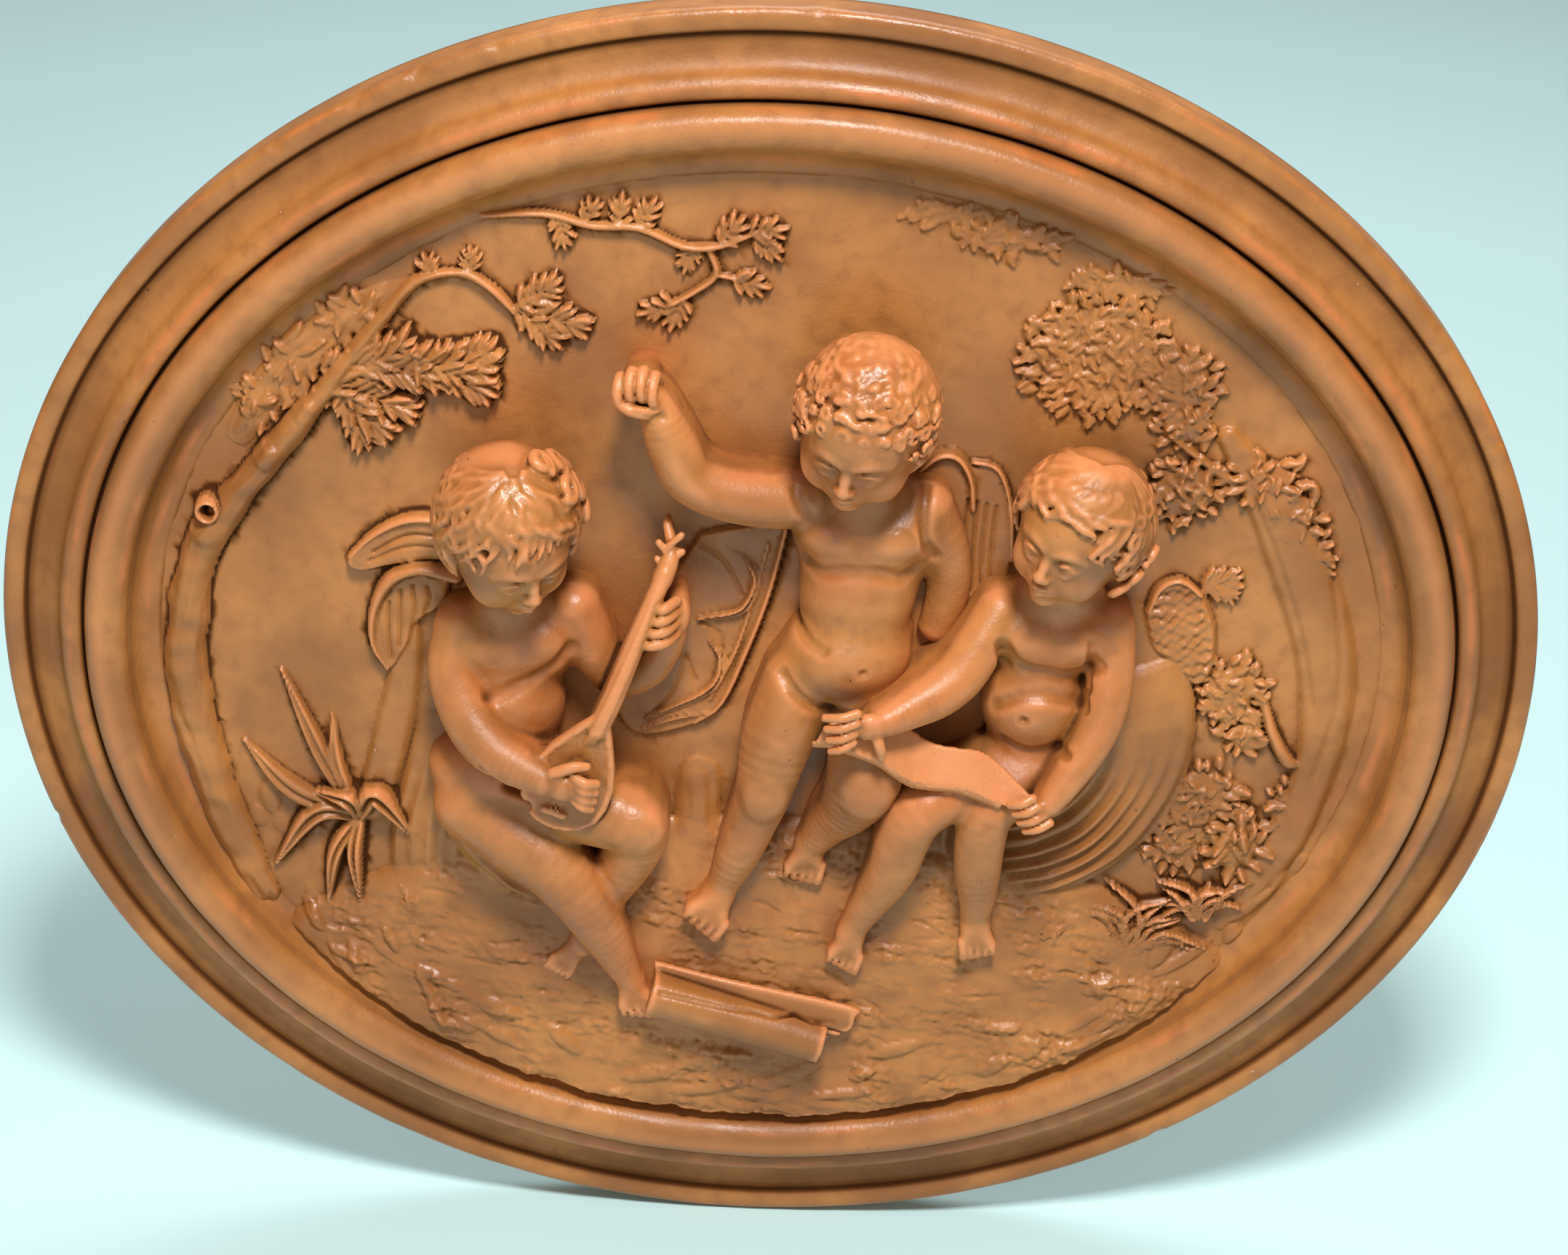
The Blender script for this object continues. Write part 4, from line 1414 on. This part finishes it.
# %% Spread the wings and hang the cloth
def spread_wings(sheet):
    """Two wings of the child on the left, one of the child in the middle, one on the right."""
    sheet.patch([(-130, 56), (-148, 58), (-162, 52), (-175, 39), (-170, 34), (-158, 37),
                 (-144, 40), (-130, 42)], 6, 1.5)
    sheet.bar([(-132, 58, 2.2, 8), (-149, 58, 2.2, 8), (-163, 51, 1.8, 7.5), (-174, 40, 1.2, 6.5)],
              1.2)
    sheet.sink(0.9, 1.6, [(-134, 51), (-150, 51), (-164, 43)])
    sheet.sink(0.8, 1.4, [(-134, 46), (-150, 46), (-166, 39)])
    sheet.patch([(-132, 36), (-148, 38), (-160, 30), (-166, 14), (-164, -4), (-158, -11),
                 (-151, 0), (-146, 12), (-136, 20)], 4.5, 1.6)
    sheet.bar([(-130, 34, 3.4, 11), (-145, 37, 3.6, 11), (-157, 31, 3.2, 10), (-164, 17, 2.4, 8),
               (-165, 1, 1.6, 6.5), (-159, -11, 1, 5)], 1.4)
    sheet.sink(0.8, 1.5, [(-158, 20), (-158, 4), (-157, -6)], [(-153, 26), (-153, 10), (-154, 0)],
               [(-148, 28), (-147, 16), (-149, 6)], [(-142, 28), (-141, 22), (-143, 16)])
    sheet.patch([(54, 84), (60, 95), (72, 98), (80, 91), (88, 92), (95, 80), (97, 44), (90, 22),
                 (76, 24), (70, 56)], 2.6, 1.4)
    sheet.bar([(58, 88, 1.2, 5), (65, 95, 1.6, 6), (73, 95, 1.6, 6), (79, 86, 1.5, 6),
               (81, 72, 1.2, 5)], 0.8)
    sheet.bar([(80, 93, 1, 4), (90, 90, 1.2, 4.4), (96, 74, 1.1, 4.4), (98, 50, 1, 4)], 0.8)
    for x in (77.5, 81.5, 85.5, 89.5):
        sheet.sink(0.8, 1.4, [(x + 1, 78 - 0.2 * x + 14), (x, 56), (x + 0.5, 36)])
    sheet.patch([(155, 28), (158, 40), (164, 45), (171, 44), (179, 36), (184, 22), (184, 4),
                 (178, -2), (168, 8), (159, 14)], 4.5, 2.0, 0.4,
                lambda x, z: 0.6 * waves(71, 8, 3.2, 6, x, z))
    sheet.bar([(156, 30, 1.2, 5.5), (160, 41, 1.5, 6), (168, 45, 1.5, 6), (177, 39, 1.4, 6)], 1)


def hang_cloth(sheet):
    """Cloth under the child that reads, cloth beside the child that plays, and a short stump."""
    sheet.folds([(141, 2), (147, -18), (146, -42), (134, -62), (116, -74), (98, -80)],
                33, 11, 6.8, 1.8)
    sheet.folds([(-124, -34), (-130, -60), (-136, -84), (-138, -108)], 22, 6.5, 6.2, 0.9)
    sheet.folds([(-132, -64), (-122, -86), (-106, -102), (-88, -114)], 12, 12, 6, 1.3)
    sheet.bar([(-27, -56, 9, 2.5), (-28, -80, 10, 5), (-28, -108, 10, 8)], 4, 0.5)


# %% Make the landscape
# The sheet lies a little behind the field, and its edge dips behind the rim.
FIELD_SUNK = 0.2
EDGE_OUT = -3
DIP = 6


def landscape():
    """All the low forms, put on one sheet from the back to the front."""
    sheet = Sheet(560, 480)
    raise_ground(sheet)
    grow_trees(sheet)
    spread_wings(sheet)
    lay_papers(sheet)
    hang_cloth(sheet)
    grow_plants(sheet)
    # Where a form runs up the rim, the sheet falls less steeply.
    falling = np.clip(sheet.inset - FIELD_INSET + 0.7, -DIP, 0)
    steep = 0.55 - 0.4 * np.clip(sheet.out / 4, 0, 1)
    sheet.out = np.maximum(sheet.out, -FIELD_SUNK) + falling * steep
    sheet.out += 0.12 * waves(41, 9, 9, 90, sheet.x, sheet.z)
    sheet.out[sheet.inset < SHEET_INSET + 1] = EDGE_OUT
    return sheet


def sheet_skin(sheet):
    """Points and faces of the sheet, which is still open behind, and how deep each point lies."""
    across, up = sheet.shape
    number = np.arange(across * up).reshape(across, up)
    a, b, c, d = number[:-1, :-1], number[1:, :-1], number[1:, 1:], number[:-1, 1:]
    quads = np.stack([a, b, c, d], -1).reshape(-1, 4)
    points = np.column_stack([sheet.x, sheet.z, sheet.out])
    height = sheet.out.reshape(sheet.shape).astype(np.float32)
    sunk = np.clip((blur(height, 2, (0, 1)) - height) * 0.12, -0.2, 0.25)
    return points, quads, FLAT + sunk.ravel()


FORMS["landscape"] = sheet_skin(landscape())


# %% [markdown]
# ## The rolled sheet of music
#
# A roll is a bar whose end shows the turns of the paper: a spiral groove, where the distance to
# the middle line keeps step with the angle round it.

# %% Model the roll
def rolled_sheet():
    """The roll, its end cut by the spiral, and the sheet's loose part behind it."""
    low, high = (-60, -190, BACK), (50, -126, 46)
    clay = Clay(low, high, 0.8)
    plate(clay, [(-44, -139), (-10, -146), (42, -155), (44, -160), (40, -168), (20, -170),
                 (-42, -154)], lambda x, z: 21 - 0.25 * np.clip(z + 160, 0, 40) + 0 * x, 3.0, 1.2)
    start, end, radius = np.array([-45.0, -151.0, 24.0]), np.array([30.0, -171.5, 25.0]), 9.2
    cut, x, z, out = clay.window(low, high)
    length = np.linalg.norm(end - start)
    ahead = (end - start) / length
    side = np.cross(ahead, (0, 0, 1.0))
    side /= np.linalg.norm(side)
    facing = np.cross(side, ahead)
    p = [x - start[0], z - start[1], out - start[2]]
    u, v, w = (sum(q * a for q, a in zip(p, axis)) for axis in (ahead, side, facing))
    w = np.where(w < 0, w * 0.5, w)
    reach, angle = np.hypot(v, w), np.arctan2(w, v)
    roll = np.maximum(reach - radius * (1 - 0.05 * u / length), np.maximum(-u, u - length))
    clay.join(cut, roll.astype(np.float32), 1.0)
    # The spiral: turns of paper 3.1 mm apart, cut 2.6 mm deep into the end inside a 1.5 mm wall
    turns = np.abs((reach / 3.1 - angle / (2 * np.pi)) % 1 - 0.5) * 3.1 - 0.6
    groove = np.maximum(turns, np.maximum(length - 2.6 - u, reach - radius + 1.5))
    clay.carve(cut, groove.astype(np.float32), 0.4)
    clay.score([(-40, -146), (0, -155), (34, -163)], 1.2, 0.8, 1)
    return clay


model("rolled_sheet", rolled_sheet())


# %% [markdown]
# ## Dirt and wear
#
# Soot and dust gather where a place lies lower than all round it, and hands polish what stands
# higher. A chart of the highest form over each place shows this: its mean over 6 mm round a point,
# less the point's own height, is how deep the point lies. The landscape is closed behind only when
# it has been thinned, because thinning would tear such long narrow triangles.

# %% Chart the heights, then turn every form into a piece
CHART_LOW, CHART_SHAPE, CHART_STEP = (-264, -222), (353, 297), 1.5
CHART_REACH = 2
MOST_OVER = 6


def chart_depths():
    """For each form: mean height round its points less their own height, in mm.

    Other forms count too, but only up to MOST_OVER over the form itself."""
    places = {name: (points[:, :2] - CHART_LOW) / CHART_STEP
              for name, (points, *_) in FORMS.items()}
    charts, last = {}, np.array(CHART_SHAPE) - 1
    for name, place in places.items():
        charts[name] = np.zeros(CHART_SHAPE, np.float32)
        np.maximum.at(charts[name], tuple(np.rint(place).astype(int).clip(0, last).T),
                      FORMS[name][0][:, 2].astype(np.float32))
    highest = np.max(list(charts.values()), axis=0)
    depths = {}
    for name, place in places.items():
        mean = np.minimum(highest, charts[name] + MOST_OVER)
        for _ in range(2):
            mean = blur(mean, CHART_REACH, (0, 1))
        depths[name] = between(mean, place.clip(0, last - 1)) - FORMS[name][0][:, 2]
    return depths


for name, depth in chart_depths().items():
    points, faces, around = FORMS[name]
    piece = make_piece(name, points, faces.tolist())
    # The hands that hold a plaque rub the children most.
    rubbed, redder = (0.06, 0.5) if name.endswith("child") else (0, 0.1)
    store(piece, "hollow", around - rubbed + np.clip(0.010 * depth, -0.14, 0.16))
    store(piece, "streak", np.clip(redder + 0.25 * waves(3, 5, 24, 110, *points.T), 0, 1))
    thin_out(piece)
    if name == "landscape":
        close_behind(piece, (0, -12 * MM, 0))
    finish_piece(piece)


# %% [markdown]
# ## Camera, floor and light
#
# The camera stands 1.4 m away and 25 degrees above the plaque's front, turned by 2.5 degrees, as
# the photograph was taken. A large soft light from above and in front models the forms.

# %% Place the camera
CAMERA_AT = (5.88, -1268.83, 597.65)
CAMERA_HEIGHT = 25
CAMERA_TURN = 2.5
LENS = 76.16


def set_up(obj, axes, at):
    """Puts an object into the scene, with its own axes as columns and its place in metres."""
    rows = [[*row, value] for row, value in zip(np.asarray(axes).tolist(), at)]
    obj.matrix_world = Matrix([*rows, [0, 0, 0, 1]])
    bpy.context.collection.objects.link(obj)


def make_camera():
    """Looks along (0, cos h, -sin h), with its sides turned about that line."""
    c, s = cos_sin(CAMERA_HEIGHT)
    right, up, back = np.array([(1, 0, 0), (0, s, c), (0, -c, s)])
    c, s = cos_sin(CAMERA_TURN)
    camera = bpy.data.objects.new("camera", bpy.data.cameras.new("camera"))
    camera.data.lens = LENS
    camera.data.sensor_width = 36
    camera.data.sensor_fit = "HORIZONTAL"
    set_up(camera, np.stack([c * right + s * up, c * up - s * right, back], 1),
           [value * MM for value in CAMERA_AT])
    bpy.context.scene.camera = camera


make_camera()


# %% Lay the floor and set the lights
def make_floor():
    """A flat sheet just under the plaque, in a pale mint paint."""
    paint = bpy.data.materials.new("pale_mint_board")
    paint.use_nodes = True
    shader = paint.node_tree.nodes["Principled BSDF"]
    shader.inputs["Base Color"].default_value = linear("#C6E6EA")
    shader.inputs["Roughness"].default_value = 0.9
    half, level = 6.0, -(HALF_HEIGHT + 0.6) * MM
    corners = [(x * half, y * half, level) for x, y in ((-1, -1), (1, -1), (1, 1), (-1, 1))]
    mesh = bpy.data.meshes.new("floor")
    mesh.from_pydata(corners, [], [(0, 1, 2, 3)])
    mesh.materials.append(paint)
    floor = bpy.data.objects.new("floor", mesh)
    bpy.context.collection.objects.link(floor)


def make_light(name, at, target, size, power, colour):
    """A square soft light that faces its target: places and size in metres, power in watts."""
    data = bpy.data.lights.new(name, "AREA")
    data.size, data.energy, data.color = size, power, colour
    light = bpy.data.objects.new(name, data)
    away = np.array(at, float) - np.array(target, float)
    away /= np.linalg.norm(away)
    side = np.cross((0, 0, 1), away)
    side /= np.linalg.norm(side)
    set_up(light, np.stack([side, np.cross(away, side), away], 1), at)


def make_world():
    """A faint warm light from all sides."""
    world = bpy.data.worlds.new("pale_room")
    world.use_nodes = True
    background = world.node_tree.nodes["Background"]
    background.inputs["Color"].default_value = linear("#FBF1E4")
    background.inputs["Strength"].default_value = 0.25
    bpy.context.scene.world = world


make_floor()
make_light("window", (0.12, -1.12, 1.72), (0, 0, 0), 0.4, 49, (1.0, 0.985, 0.95))
make_light("room", (-0.5, -2.2, 0.4), (0, 0, 0), 2.0, 9, (1.0, 1.0, 0.99))
make_light("wall_wash", (0.2, 1.3, 1.9), (0.1, 1.1, 0), 1.6, 31, (0.95, 1.0, 1.0))
make_world()
bpy.context.scene.view_settings.view_transform = "Standard"
print("the camera is", round(float(np.hypot(*CAMERA_AT[1:]))), "mm from the field's middle")
